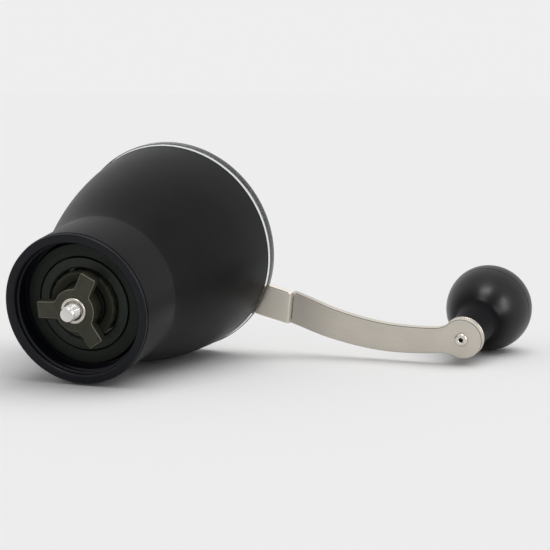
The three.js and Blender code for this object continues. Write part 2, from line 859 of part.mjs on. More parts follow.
function hubGeometry() {
  const flangeBottom = armTop + seatGap;
  const hubTop = flangeBottom + hubHeight;
  const body = revolve(
    [
      [0, armUnderside],
      [hubSpigotRadius, armUnderside],
      [hubSpigotRadius, flangeBottom],
      [hubFlangeRadius, flangeBottom],
      [hubFlangeRadius, flangeBottom + hubFlangeHeight],
      [hubBodyRadius, flangeBottom + hubFlangeHeight],
      [hubBodyRadius, hubTop],
      [0, hubTop],
    ],
    turn,
  );
  const socket = (hexAcrossFlats + 2 * pressGap) / Math.sqrt(3);
  const hex = new THREE.CylinderGeometry(socket, socket, hubTop - armUnderside + 2, 6);
  return cut(body, hex.rotateX(Math.PI / 2).translate(0, 0, (hubTop + armUnderside) / 2));
}

function hubCapGeometry() {
  const seat = armTop + hubHeight + 2 * seatGap;
  const plug = hexAcrossFlats / 2 - slipGap;
  const dome = [];
  const domeLevels = 3;
  for (let i = 0; i <= domeLevels; i++) {
    const angle = (Math.PI / 2) * (i / domeLevels);
    dome.push([hubBodyRadius * Math.cos(angle), seat + 0.8 + (hubCapHeight - 0.8) * Math.sin(angle)]);
  }
  dome[domeLevels][0] = 0;
  return revolve([[0, seat - hubCapPlug], [plug, seat - hubCapPlug], [plug, seat], [hubBodyRadius, seat], ...dome], turn);
}

function spindleGeometry() {
  const bottom = eyeUnderside - rivetStand;
  const shoulderBottom = washerSeat;
  const shoulderTop = washerSeat + spindleShoulderHeight;
  const groove = spindleRadius - clipGrooveDepth;
  const tip = knobClipBottom + clipThickness + spindleTipStand;
  const body = revolve(
    [
      [0, bottom + rivetDimpleDepth],
      [rivetDimpleRadius, bottom + rivetDimpleDepth],
      [rivetDimpleRadius, bottom],
      [rivetRadius - 0.3, bottom],
      [rivetRadius, bottom + 0.3],
      [rivetRadius, shoulderBottom],
      [spindleShoulderRadius, shoulderBottom],
      [spindleShoulderRadius, shoulderTop],
      [spindleRadius, shoulderTop],
      [spindleRadius, knobClipBottom - seatGap],
      [groove, knobClipBottom - seatGap],
      [groove, knobClipBottom + clipThickness + seatGap],
      [spindleRadius, knobClipBottom + clipThickness + seatGap],
      [spindleRadius, tip - 0.5],
      [spindleRadius - 0.5, tip],
      [0, tip],
    ],
    smallTurn,
  );
  return body;
}

// Outside radius of the knob at height z: a neck that widens a little, blended into a drop, under an elliptical dome
function knobOutside(z) {
  const below = Math.min(z, knobWidest);
  const neck = knobNeckRadius + (knobNeckSpread * (below - knobBase)) / knobBodyHeight;
  const share = (knobWidest - below) / knobDropHeight;
  const drop = knobRadius * Math.sqrt(Math.max(0, 1 - share * share));
  const girth = (neck ** knobNeckBlend + drop ** knobNeckBlend) ** (1 / knobNeckBlend);
  const climb = (z - below) / knobDomeHeight;
  return girth * Math.sqrt(Math.max(0, 1 - climb * climb));
}

function knobBodyGeometry() {
  const levels = 12;
  const outside = [];
  for (let i = 0; i <= levels; i++) {
    const z = knobBase + ((knobSeam - knobSeamEdge - knobBase) * i) / levels;
    outside.push([knobOutside(z), z]);
  }
  const pocketFloor = knobBase + knobBushLength + seatGap;
  return revolve(
    [
      [knobBoreRadius, knobBase],
      ...outside,
      [knobOutside(knobSeam) - knobSeamEdge, knobSeam],
      [knobPocketRadius, knobSeam],
      [knobPocketRadius, pocketFloor],
      [knobBoreRadius, pocketFloor],
    ],
    turn,
  );
}

function knobCapGeometry() {
  const seat = knobSeam + seatGap;
  const levels = 7;
  const dome = [];
  const start = Math.asin((seat + knobSeamEdge - knobWidest) / knobDropHeight);
  for (let i = 0; i < levels; i++) {
    const angle = start + ((Math.PI / 2 - start) * i) / levels;
    const z = knobWidest + (angle < 0 ? knobDropHeight : knobDomeHeight) * Math.sin(angle);
    dome.push([knobOutside(z), z]);
  }
  const plug = knobPocketRadius - pressGap;
  return revolve(
    [
      [0, seat - capPlugDepth],
      [plug, seat - capPlugDepth],
      [plug, seat],
      [knobOutside(seat) - knobSeamEdge, seat],
      ...dome,
      [0, knobWidest + knobDomeHeight],
    ],
    turn,
  );
}

// Split ring that snaps into a groove of the given radius
function clipGeometry(grooveRadius, outerRadius, low) {
  const ring = tube(grooveRadius + seatGap, outerRadius, low, low + clipThickness, smallTurn);
  const gap = block(outerRadius + 1, 2, low - 1, low + clipThickness + 1, (outerRadius + 1) / 2, 0, Math.PI / 2);
  return cut(ring, gap);
}

function material(color, roughness, metalness, opacity = 1) {
  const settings = { color, roughness, metalness };
  if (opacity < 1) Object.assign(settings, { opacity, transparent: true });
  return new THREE.MeshStandardMaterial(settings);
}

const shellPlastic = material(0x3a3b3d, 0.42, 0);
const collarPlastic = material(0x3b3945, 0.4, 0);
const clearPlastic = material(0xe9efee, 0.05, 0, 0.3);
const greenBlackPlastic = material(0x3f463f, 0.5, 0);
const ringCeramic = material(0x3c433b, 0.55, 0);
const coneCeramic = material(0x4d493f, 0.55, 0);
const nutPlastic = material(0x6f6c5c, 0.5, 0);
const bridgePlastic = material(0x2c2d2f, 0.5, 0);
const armSteel = material(0xbdb2a5, 0.32, 0.9);
const brightSteel = material(0xd2d0cc, 0.25, 1);
const springSteel = material(0x9a9a98, 0.3, 1);
const bronze = material(0x9c7a4a, 0.4, 0.9);
const knobPlastic = material(0x2b282c, 0.38, 0);
const acetal = material(0xd8d5cc, 0.5, 0);

function piece(name, geometry, finish) {
  const mesh = new THREE.Mesh(geometry, finish);
  mesh.name = name;
  return mesh;
}

const head = new THREE.Group();

const housing = new THREE.Group();
housing.add(
  piece("hopper_shell", hopperGeometry(), shellPlastic),
  piece("jar_collar", collarGeometry(), collarPlastic),
  piece("burr_retainer", retainerGeometry(), greenBlackPlastic),
  piece("outer_burr", outerBurrGeometry(), ringCeramic),
  piece("bearing_spider", spiderGeometry(), bridgePlastic),
);
const lowerBush = piece("lower_bush", bushGeometry(), bronze);
lowerBush.position.z = towerBottom - bushFlange - seatGap;
const upperBush = piece("upper_bush", bushGeometry(), bronze);
upperBush.rotation.x = Math.PI;
upperBush.position.z = towerTop + bushFlange + seatGap;
housing.add(lowerBush, upperBush);
screwPlaces().forEach(([x, y], k) => {
  const screw = piece(`spider_screw_${k + 1}`, screwGeometry(), brightSteel);
  screw.position.set(x, y, spiderSeat + spiderRingHeight + seatGap);
  housing.add(screw);
});

const lid = new THREE.Group();
lid.add(piece("clear_lid", lidGeometry(), clearPlastic));

const drive = new THREE.Group();
drive.add(
  piece("main_shaft", shaftGeometry(), brightSteel),
  piece("shaft_clip", clipGeometry(shaftRadius - clipGrooveDepth, clipRadius, clipBottom), springSteel),
  piece(
    "thrust_washer",
    tube(shaftRadius + pressGap, thrustWasherRadius, washerTop - thrustWasherThickness, washerTop, smallTurn),
    acetal,
  ),
  piece("burr_spring", springGeometry(), springSteel),
);

const grinding = new THREE.Group();
grinding.add(
  piece("inner_burr", innerBurrGeometry(), coneCeramic),
  piece("burr_carrier", carrierGeometry(), nutPlastic),
);

const adjuster = new THREE.Group();
adjuster.add(piece("adjusting_nut", nutGeometry(), nutPlastic), piece("nut_insert", insertGeometry(), brightSteel));

const crank = new THREE.Group();
crank.add(
  piece("crank_arm", armGeometry(), armSteel),
  piece("crank_hub", hubGeometry(), brightSteel),
  piece("hub_cap", hubCapGeometry(), knobPlastic),
);

const handle = new THREE.Group();
handle.position.x = armReach;
handle.add(
  piece("knob_spindle", spindleGeometry(), brightSteel),
  piece(
    "knob_washer",
    tube(spindleShoulderRadius + pressGap, knobWasherRadius, washerSeat, washerSeat + knobWasherThickness, turn),
    brightSteel,
  ),
  piece("knob_clip", clipGeometry(spindleRadius - clipGrooveDepth, clipRadius, knobClipBottom), springSteel),
  piece(
    "knob_bush",
    tube(spindleRadius + runningGap, knobBoreRadius - pressGap, knobBase, knobBase + knobBushLength, smallTurn),
    acetal,
  ),
  piece("knob_body", knobBodyGeometry(), knobPlastic),
  piece("knob_cap", knobCapGeometry(), knobPlastic),
);
crank.add(handle);

head.add(housing, lid, drive, grinding, adjuster, crank);

export default head;
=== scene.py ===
"""Looks of a hand-cranked coffee grinder head that lies on its side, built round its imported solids.

Lengths are in millimetres until a surface becomes a mesh. +Z runs up the shaft from the jar mouth to the lid,
+X from the shaft to the knob. A corner of a turned outline is (radius, height, fillet).
"""

import bmesh
import bpy
import numpy as np
from mathutils import Matrix, Vector


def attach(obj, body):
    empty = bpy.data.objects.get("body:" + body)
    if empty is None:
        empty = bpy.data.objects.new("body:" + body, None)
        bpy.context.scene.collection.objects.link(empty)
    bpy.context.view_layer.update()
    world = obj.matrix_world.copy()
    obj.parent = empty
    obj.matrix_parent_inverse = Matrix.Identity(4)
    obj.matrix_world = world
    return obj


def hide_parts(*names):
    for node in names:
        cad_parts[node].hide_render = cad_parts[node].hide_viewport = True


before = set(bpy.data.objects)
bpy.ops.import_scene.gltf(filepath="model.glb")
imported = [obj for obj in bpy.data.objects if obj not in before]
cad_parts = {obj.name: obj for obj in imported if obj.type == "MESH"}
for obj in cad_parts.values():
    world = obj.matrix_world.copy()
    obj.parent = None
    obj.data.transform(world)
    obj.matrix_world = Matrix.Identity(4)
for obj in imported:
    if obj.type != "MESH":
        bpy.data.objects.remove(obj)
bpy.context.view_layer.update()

MM = 0.001
TURN = 2 * np.pi
MERGE_REACH = 1e-7
CREASE_ANGLE = 32.0

# Hopper
NECK_RADIUS = 31.4
NECK_BORE = 29.3
NECK_FOOT = 1.6
NECK_TOP = 27.4
HOPPER_TOP = 94.4
HOPPER_WALL = 2.4
RIM_RADIUS = 46.1
BOWL_CURVE = ((NECK_RADIUS, NECK_TOP), (33.3, 37.6), (43.9, 58.9), (RIM_RADIUS, HOPPER_TOP))
SOCKET_TOP = 16.2
LEDGE_TOP = 44.0
FUNNEL_RADIUS = 27.0
THROAT_RADIUS = 18.1
THROAT = 26.7
SLEEVE_BOTTOM = 11.65
SLEEVE_BORE = 21.0
SLEEVE_RADIUS = 23.2

# Jar collar and its thread
COLLAR_RADIUS = 31.15
COLLAR_LIP = 1.5
COLLAR_SLEEVE = 29.2
COLLAR_TOP = 16.0
COLLAR_LEDGE = 25.8
MOUTH_RADIUS = 27.3
MOUTH_TOP = 6.5
RELIEF_RADIUS = 27.9
THREAD_START = 1.9
THREAD_PITCH = 3.2
THREAD_TURNS = 1.3
THREAD_FADE = 0.5
THREAD_HALF_WIDTH = 0.62
THREAD_DEPTH = 0.8

# Burrs
JAR_SEAT = 8.5
RETAINER_BORE = 19.9
RETAINER_RADIUS = 25.05
BURR_FACE = 8.2
TOOTH_DEPTH = 0.3
OUTER_LAND = (9.0, 18.6)
OUTER_BORE = 14.9
OUTER_FLARE = 3.0
OUTER_RADIUS = 20.8
OUTER_CONE_TOP = 26.05
OUTER_TOP = 26.65
OUTER_TEETH = 24
OUTER_LEAN = 0.09
INNER_FACE = 6.7
INNER_TOP = 24.2
INNER_RADIUS = 14.25
INNER_TAPER = 0.25
INNER_LAND_FOOT = 7.5
INNER_LAND_TOP = 18.2
INNER_CONE_TOP = 23.4
INNER_CREST = 8.6
INNER_SPREAD = 5.4
INNER_BORE = 6.2
INNER_TEETH = 20
INNER_LEAN = 0.1
LOBES = 5
LOBE_SWEEP = 1.2
LOBE_DEPTH = 1.5
RECESS_RADII = (9.6, 13.1)
RECESS_ROOF = 8.9
CARRIER_BORE = 4.1
CARRIER_TOP = 25.2

# Adjusting nut
NUT_FACE = -1.1
NUT_TOP = 5.8
NUT_BORE = 5.5
NUT_HUB = 8.75
WING_THICKNESS = 4.2
WING_TIP = 16.15
WING_HALF_WIDTH = 3.45
WING_BEARING = 42
WING_SQUARENESS = 26
WING_BLEND = 14

# Shaft and its bearings
STUD_FOOT = -7.2
STUD_RADIUS = 3.2
STUD_PITCH = 1.0
STUD_DEPTH = 0.5
SHAFT_RADIUS = 4.0
SHAFT_FLAT = 3.3
FLATS_TOP = 31.5
CLIP_GROOVE = (59.1, 60.2, 3.5)
HEXAGON_HALF = 4.0
HEXAGON_CORNER = 4.62
SHAFT_TOP = 111.2
TOWER_BOTTOM = 34.05
TOWER_TOP = 58.05
TOWER_RADIUS = 7.4
BRIDGE_RING = (28.4, 33.79, 44.05, 47.05)
LEG_SPAN = (6.0, 30.0)
LEG_HALF_WIDTH = 2.0
LEG_HALF_HEIGHT = 2.1
LEG_HEIGHT = 46.15
LEG_SQUARENESS = 0.35
SCREW_CIRCLE = 31.09
SCREW_HEAD = 2.6
SCREW_SEAT = 47.1
SCREW_DOME = 1.4
SLOT_HALF_WIDTH = 0.42
SLOT_REACH = 1.75
SLOT_DEPTH = 0.75

# Lid
LID_SEAT = 94.6
LID_STEP = 95.2
LID_TOP = 99.6
LID_RADIUS = 46.8
LID_HOLE = 5.32
PLATE_UNDERSIDE = 97.4
SKIRT_RADII = (41.18, 43.18)
SKIRT_BOTTOM = 90.0

# Crank arm
ARM_UNDERSIDE = 101.2
ARM_THICKNESS = 3.4
ARM_TOP = ARM_UNDERSIDE + ARM_THICKNESS
ARM_RISE = 2.4
ARM_STEP = (57.0, 57.8)
STEP_MIDDLE = 12.07
STEP_SLANT = 0.133
ARM_REACH = 134.3
ARM_BOW = 13.15
ARM_WIDTHS = (14.8, 10.2)
ARM_EDGE = 0.3
HUB_RADIUS = 11.6
HUB_BLEND = 8
EYE_RADIUS = 8.75
EYE_FILLET = 12.0
EYE_UNDERSIDE = ARM_UNDERSIDE + ARM_RISE
CRANK_SOCKET_BORE = 5.0
CRANK_SOCKET_RADII = (8.2, 10.0)

# Knob
KNOB_AXIS = (ARM_REACH, 0)
WASHER_SEAT = EYE_UNDERSIDE + ARM_THICKNESS + 0.05
KNOB_BASE = 108.25
KNOB_WIDEST = KNOB_BASE + 43.15
KNOB_SEAM = KNOB_WIDEST - 3.2
KNOB_DROP = 23.0
KNOB_DOME = 15.5
KNOB_RADIUS = 19.06
KNOB_NECK = 7.6
KNOB_NECK_SPREAD = 3.0
KNOB_BLEND = 6
KNOB_BORE = 5.33
KNOB_WELL = 8.8
WELL_FLOOR = KNOB_BASE + 31.05
CLIP_SEAT = KNOB_BASE + 31.2
SPINDLE_RADII = (3.1, 3.6)


# Surfaces

def grid_quads(rows, columns, wrap_rows=False, wrap_columns=True):
    """Quads of a grid of points: each joins a point to its neighbours along its row and in the next row."""
    down = np.arange(rows if wrap_rows else rows - 1)
    along = np.arange(columns if wrap_columns else columns - 1)
    i, j = np.meshgrid(down, along, indexing="ij")
    i_next, j_next = (i + 1) % rows, (j + 1) % columns
    corners = [i * columns + j, i * columns + j_next, i_next * columns + j_next, i_next * columns + j]
    return np.stack(corners, axis=-1).reshape(-1, 4)


def make_piece(name, points, quads, body, finish, replaces=()):
    """One piece from points in millimetres and quads; doubled points at poles and seams are merged."""
    mesh = bpy.data.meshes.new(name)
    mesh.from_pydata((np.asarray(points).reshape(-1, 3) * MM).tolist(), [], np.asarray(quads).tolist())
    work = bmesh.new()
    work.from_mesh(mesh)
    bmesh.ops.remove_doubles(work, verts=work.verts, dist=MERGE_REACH)
    bmesh.ops.recalc_face_normals(work, faces=work.faces)
    work.to_mesh(mesh)
    work.free()
    mesh.polygons.foreach_set("use_smooth", np.ones(len(mesh.polygons), dtype=bool))
    mesh.set_sharp_from_angle(angle=np.radians(CREASE_ANGLE))
    mesh.materials.append(finish.material)
    piece = bpy.data.objects.new(name, mesh)
    bpy.context.scene.collection.objects.link(piece)
    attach(piece, body)
    if replaces:
        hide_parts(*replaces)


def around(count):
    """Angles of count points spread evenly over one turn."""
    return np.arange(count) * TURN / count


def plain(r, z):
    """Corners without a fillet."""
    return np.stack([r, z, np.zeros_like(z)], axis=-1)


def rounded(corners, steps=4):
    """Closed outline from (r, z, fillet) corners: each corner becomes an arc tangent to both its sides.

    The arc is the quadratic through the corner's two tangent points, each a fillet's length along its side.
    """
    corners = np.array(corners, float)
    here = corners[:, :2]
    before, after = np.roll(here, 1, axis=0), np.roll(here, -1, axis=0)
    run_in, run_out = before - here, after - here
    long_in, long_out = np.linalg.norm(run_in, axis=1), np.linalg.norm(run_out, axis=1)
    most_of_side = 0.45
    reach = np.minimum(corners[:, 2], most_of_side * np.minimum(long_in, long_out))
    start = here + run_in * (reach / long_in)[:, None]
    end = here + run_out * (reach / long_out)[:, None]
    t = np.linspace(0, 1, steps + 1)[None, :, None]
    arcs = (1 - t) ** 2 * start[:, None] + 2 * t * (1 - t) * here[:, None] + t ** 2 * end[:, None]
    sharp = corners[:, 2] == 0
    outline = []
    for k in range(len(corners)):
        outline.append(here[k:k + 1] if sharp[k] else arcs[k])
    return np.concatenate(outline)


def lathe_grids(outline, facets):
    """Radius, height and angle of an (r, z) outline's points all round a turn, each as a grid."""
    r, z = np.asarray(outline, float).T
    angle, radius = np.meshgrid(around(facets), r)
    return radius, np.repeat(z[:, None], facets, axis=1), angle


def polar(radius, angle, height, centre=(0.0, 0.0)):
    """Points (r cos a, r sin a, z) about an upright axis through the centre."""
    return np.stack([centre[0] + radius * np.cos(angle), centre[1] + radius * np.sin(angle), height], axis=-1)


def turned(outline, facets, centre=(0.0, 0.0), swell=None):
    """Points and quads of a closed (r, z) outline turned about an upright axis.

    The radius is changed by swell(r, z, a) where one is given.
    """
    radius, height, angle = lathe_grids(outline, facets)
    if swell is not None:
        radius = radius + swell(radius, height, angle)
    return polar(radius, angle, height, centre), grid_quads(len(radius), facets, wrap_rows=True)


def turned_piece(name, corners, body, finish, replaces=(), centre=(0.0, 0.0), facets=96, steps=4):
    points, quads = turned(rounded(corners, steps), facets, centre)
    make_piece(name, points, quads, body, finish, replaces)


def squared_up(wave, power):
    """A sine or cosine held nearer its crests: two of them a quarter turn apart draw a rounded square."""
    return np.sign(wave) * np.abs(wave) ** power


def capped(rings):
    """Rings of points, closed at both ends by the middle of the end ring."""
    middle = rings.mean(axis=1, keepdims=True).repeat(rings.shape[1], axis=1)
    return np.concatenate([middle[:1], rings, middle[-1:]])


def coiled(name, node, radius, wire, span, turns, body, finish):
    """Round wire along a helix: centre (R cos a, R sin a, low + rise), rings square to its direction."""
    steps_a_turn, sides = 40, 12
    count = int(turns * steps_a_turn) + 1
    a = np.linspace(0, turns * TURN, count)
    centre = polar(radius, a, np.linspace(*span, count))
    tangent = np.gradient(centre, axis=0)
    tangent /= np.linalg.norm(tangent, axis=1, keepdims=True)
    out = polar(1.0, a, np.zeros(count))
    up = np.cross(tangent, out)
    b = around(sides)[None, :, None]
    rings = centre[:, None] + wire * (np.cos(b) * out[:, None] + np.sin(b) * up[:, None])
    make_piece(name, capped(rings), grid_quads(count + 2, sides), body, finish, [node])


def split_ring(name, node, radii, low, body, centre=(0.0, 0.0)):
    """Open snap ring: a rounded square section swept through a turn less its gap, with closed ends."""
    sides, squareness, half_height = 16, 0.3, 0.5
    inner, outer = radii
    a = np.linspace(np.radians(100), np.radians(440), 90)[:, None]
    b = around(sides)[None]
    r = (inner + outer) / 2 + (outer - inner) / 2 * squared_up(np.cos(b), squareness)
    z = low + half_height + half_height * squared_up(np.sin(b), squareness)
    points = capped(polar(r, a, z + 0 * a, centre))
    make_piece(name, points, grid_quads(len(points), sides), body, SPRING, [node])


def edge_rounds(edge, low, high):
    """Rings of a side from low to high: how far each is drawn in, and its height, with rounded edges."""
    q = np.linspace(0, np.pi / 2, 5)
    drawn = np.concatenate([edge * (1 - np.sin(q)), edge * (1 - np.cos(q))])
    height = np.concatenate([low + edge * (1 - np.cos(q)), high - edge * (1 - np.sin(q))])
    return drawn, height


def shifted_rings(outline, shifts):
    """Copies of a closed plan outline, each moved along its own normals, to the left of its way."""
    ahead = np.roll(outline, -1, axis=0) - np.roll(outline, 1, axis=0)
    ahead /= np.linalg.norm(ahead, axis=1, keepdims=True)
    left = np.stack([-ahead[:, 1], ahead[:, 0]], axis=-1)
    return outline[None] + left[None] * shifts[:, None, None]


# Finishes

class Field:
    """A number or colour that varies over a surface: one node's output, whose arithmetic adds Math nodes."""

    def __init__(self, graph, socket):
        self.graph = graph
        self.socket = socket

    def worked(self, operation, first, second):
        return self.graph.node("ShaderNodeMath", {"operation": operation}, {0: first, 1: second})

    def __add__(self, other):
        return self.worked("ADD", self, other)

    def __sub__(self, other):
        return self.worked("SUBTRACT", self, other)

    def __rsub__(self, other):
        return self.worked("SUBTRACT", other, self)

    def __mul__(self, other):
        return self.worked("MULTIPLY", self, other)

    __radd__ = __add__
    __rmul__ = __mul__

    def clear(self, low, high):
        """0 below low and 1 above high, with a smooth step between."""
        sockets = {"Value": self, "From Min": low, "From Max": high}
        return self.graph.node("ShaderNodeMapRange", {"interpolation_type": "SMOOTHSTEP"}, sockets)

    def band(self, start, full, fading, gone):
        """1 from full to fading, 0 before start and after gone, with a smooth step between."""
        return self.clear(start, full) - self.clear(fading, gone)

    def between(self, first, second):
        """Colour that goes from the first to the second as the field goes from 0 to 1."""
        return self.graph.node("ShaderNodeMix", {"data_type": "RGBA"}, {0: self, 6: first, 7: second}, 2)


class Graph:
    """A node tree in the making."""

    def __init__(self, tree):
        self.tree = tree

    def feed(self, socket, value):
        if isinstance(value, Field):
            self.tree.links.new(value.socket, socket)
        elif socket.type == "RGBA":
            socket.default_value = (*value, 1.0)
        else:
            socket.default_value = value

    def node(self, kind, settings=None, sockets=None, output=0):
        """A node of the given kind: its settings come first, then the values or links of its sockets."""
        node = self.tree.nodes.new(kind)
        for name, value in (settings or {}).items():
            setattr(node, name, value)
        for key, value in (sockets or {}).items():
            self.feed(node.inputs[key], value)
        return Field(self, node.outputs[output])


class Finish(Graph):
    """A material in the making, with patterns in millimetres of the piece itself."""

    def __init__(self, name, slot=None, **settings):
        self.material = bpy.data.materials.new(name)
        self.material.use_nodes = True
        super().__init__(self.material.node_tree)
        self.slot = slot or name
        self.shader = self.tree.nodes["Principled BSDF"]
        self.place = self.node("ShaderNodeTexCoord", output="Object")
        for socket, value in settings.items():
            self.feed(self.shader.inputs[socket], value)

    def laid(self, stretch=(1, 1, 1), centre=(0, 0)):
        """The piece's own coordinates, moved to an upright axis and drawn out by the stretch."""
        middle = (centre[0] * MM, centre[1] * MM, 0)
        sockets = {"Vector": self.place, "Location": middle, "Scale": stretch}
        return self.node("ShaderNodeMapping", {"vector_type": "TEXTURE"}, sockets)

    def cloud(self, size, detail=2.0, rough=0.5, stretch=(1, 1, 1)):
        """Noise whose patches are about size millimetres across, from 0 to 1."""
        place = self.laid(stretch)
        sockets = {"Vector": place, "Scale": 1 / (size * MM), "Detail": detail, "Roughness": rough}
        return self.node("ShaderNodeTexNoise", sockets=sockets)

    def turning_marks(self, centre):
        """Fine circles about an upright axis, a little shaken."""
        pitch = 0.25
        scale = np.pi / (20 * pitch * MM)
        sockets = {"Vector": self.laid(centre=centre), "Scale": scale, "Distortion": 0.4, "Detail": 1.0}
        return self.node("ShaderNodeTexWave", {"wave_type": "RINGS", "rings_direction": "Z"}, sockets, "Fac")

    def along(self, axis):
        """Millimetres from the origin along one axis of the part."""
        return self.node("ShaderNodeSeparateXYZ", sockets={0: self.place}, output=axis) * (1 / MM)

    def worn_edges(self):
        """0 on flat and hollow places, 1 on outward edges."""
        return self.node("ShaderNodeNewGeometry", output="Pointiness").clear(0.53, 0.62)

    def varies(self, socket, field):
        self.feed(self.shader.inputs[socket], field)

    def relief(self, field, depth):
        """Bump whose full height is depth millimetres."""
        self.varies("Normal", self.node("ShaderNodeBump", sockets={"Distance": depth * MM, "Height": field}))


def shade(colour, factor):
    return tuple(c * factor for c in colour)


def moulded_plastic(name, colour, roughness, slot=None, grain=0.35, gloss=0.5, pale=1.35, rub_and_highlight=1.6, highlight_brim=None):
    """Moulded plastic: fine spark grain, slow cloudy change in sheen, edges rubbed a little paler.

    Where its height is given, only the rounded edge just above that height is painted paler: a painted
    highlight line, not wear.
    """
    finish = Finish(name, slot, **{"Specular IOR Level": gloss})
    slow = finish.cloud(18)
    fine = finish.cloud(grain, rough=0.6)
    patch = finish.cloud(5, detail=4, rough=0.6)
    speck = finish.cloud(grain * 1.6, detail=1)
    mottle = (slow * 0.55 + patch * 0.25 + speck * 0.2).clear(0.35, 0.68)
    body = mottle.between(shade(colour, 0.8), shade(colour, pale))
    # Paler edges: wear on outward edges; where an edge height is given, a painted highlight line on that
    # rounded edge instead.
    if highlight_brim is None:
        edge = finish.worn_edges()
    else:
        edge = (finish.along("Z") - highlight_brim).band(0.02, 0.1, 0.34, 0.44)
    finish.varies("Base Color", (edge * 0.8).between(body, shade(colour, rub_and_highlight)))
    finish.varies("Roughness", slow * 0.08 + patch * 0.06 + (roughness - 0.07))
    finish.relief(fine * 0.8 + patch * 0.2, 0.012)
    return finish


def handled_lacquer(name, slot, colour, coat):
    """Lacquered grip: the palm keeps the ball's coat polished, and toward the neck it thins to nothing."""
    finish = Finish(name, slot, **{"Specular IOR Level": 0.04, "Coat Roughness": 0.3})
    slow = finish.cloud(14)
    patch = finish.cloud(4, detail=4, rough=0.6)
    fine = finish.cloud(0.3, rough=0.6)
    worn = (slow * 0.6 + patch * 0.4).clear(0.35, 0.68)
    finish.varies("Base Color", worn.between(shade(colour, 0.8), shade(colour, 1.35)))
    finish.varies("Roughness", slow * 0.1 + patch * 0.06 + 0.34)
    polished = finish.along("Z").clear(KNOB_BASE + 20.0, KNOB_BASE + 30.0)
    finish.varies("Coat Weight", polished * (patch * 0.12 + (coat - 0.06)))
    finish.relief(fine * 0.8 + patch * 0.2, 0.01)
    return finish


def fired_ceramic(name, colour):
    """Unglazed ceramic: a speckled and dusty body, ground bright on its edges."""
    finish = Finish(name, **{"Specular IOR Level": 0.3})
    speck = finish.cloud(0.5, detail=3, rough=0.7)
    dust = finish.cloud(3.5, detail=4, rough=0.65)
    body = (speck * 0.5 + dust * 0.5).clear(0.35, 0.7).between(shade(colour, 0.75), shade(colour, 1.4))
    finish.varies("Base Color", (finish.worn_edges() * 0.7).between(body, shade(colour, 3.2)))
    finish.varies("Roughness", dust * 0.2 + 0.42)
    finish.relief(speck, 0.02)
    return finish


def brushed_nickel(name, colour, stretch):
    """Satin-plated steel: hair-fine brushing along the strip, soft stains, painted shade in the step's
    corner.

    The satin scatters part of its light as a matt surface does. Painted light makes the root brighter than
    the rest;
    painted shade darkens the metal just past the step, and the rounded edges by their height over the
    underside.
    """
    finish = Finish(name, Metallic=0.6)
    hair = finish.cloud(0.12, detail=3, rough=0.7, stretch=stretch)
    streak = finish.cloud(0.9, detail=3, rough=0.6, stretch=stretch)
    stain = finish.cloud(14, detail=3)
    tone = (streak * 0.4 + stain * 0.6).clear(0.3, 0.75)
    body = tone.between(shade(colour, 0.94), shade(colour, 1.05))
    foot, top = ARM_STEP
    across = finish.along("Y")
    from_step = finish.along("X") - (across - STEP_MIDDLE) * STEP_SLANT
    risen = from_step.clear(foot, top)
    # Painted light: the root, short of the step, is painted brighter than the rest of the arm.
    body = risen.between(shade(colour, 1.42), body)
    # Painted shade: the metal just past the step is painted darker, fading out further along.
    body = from_step.band(foot, top, top + 2, top + 24).between(body, shade(colour, 0.8))
    # Painted shade: dark lines along the rounded edges, found by their height over the underside, none on the
    # riser.
    level = finish.along("Z") - (risen * ARM_RISE + ARM_UNDERSIDE)
    near_edge = level.band(0.02, 0.08, 0.55, 0.8)
    far_edge = level.band(2.7, 3.0, 3.3, 3.38)
    riser = from_step.band(foot - 1.2, foot - 0.6, top + 0.6, top + 1.2)
    edges = (near_edge * 0.9 + far_edge * 0.35) * (1 - riser)
    body = edges.between(body, shade(colour, 0.08))
    # Painted shade in the step's inner corner, over the middle of the strip's width.
    corner = from_step.band(top - 0.2, top, top + 0.1, top + 0.6)
    inside = across.band(STEP_MIDDLE - 6.4, STEP_MIDDLE - 4.5, STEP_MIDDLE + 4.5, STEP_MIDDLE + 6.4)
    finish.varies("Base Color", (corner * (inside * 0.75)).between(body, shade(colour, 0.12)))
    finish.varies("Roughness", hair * 0.12 + stain * 0.08 + 0.32)
    finish.relief(hair, 0.004)
    return finish


def turned_steel(name, colour, roughness, slot=None, centre=(0, 0)):
    """Lathe-turned steel: fine circular tool marks round its axis, faint oil stains."""
    finish = Finish(name, slot, Metallic=1.0)
    marks = finish.turning_marks(centre)
    stain = finish.cloud(4, detail=3)
    finish.varies("Base Color", stain.clear(0.3, 0.75).between(shade(colour, 0.88), shade(colour, 1.04)))
    finish.varies("Roughness", marks * 0.08 + stain * 0.1 + (roughness - 0.09))
    finish.relief(marks, 0.004)
    return finish


def clear_moulding(name, body, rim):
    """Clear moulded lid with a trace of haze: its thick rim is painted near black as painted shade, but for a
    painted highlight line round it.
    """
    finish = Finish(name, **{"Transmission Weight": 1.0, "IOR": 1.49})
    x, y, level = finish.along("X"), finish.along("Y"), finish.along("Z") - LID_SEAT
    outer = (x * x + y * y).clear((LID_RADIUS - 0.5) ** 2, (LID_RADIUS - 0.35) ** 2)
    line = level.band(1.3, 1.4, 1.9, 2.0)
    # Painted shade on the rim's outside, broken by a painted highlight line.
    finish.varies("Base Color", (outer * (1 - line * 0.7)).between(body, rim))
    haze = finish.cloud(9, detail=4, rough=0.6)
    finish.varies("Roughness", haze.clear(0.4, 0.8) * 0.05 + 0.015)
    return finish


def sintered_bronze(name, colour):
    """Porous bronze: pinholes and oil-darkened patches."""
    finish = Finish(name, Metallic=1.0)
    pores = finish.cloud(0.22)
    oil = finish.cloud(3, detail=3)
    finish.varies("Base Color", oil.clear(0.3, 0.75).between(shade(colour, 0.7), shade(colour, 1.2)))
    finish.varies("Roughness", pores * 0.2 + 0.3)
    finish.relief(pores.clear(0.2, 0.45), 0.02)
    return finish


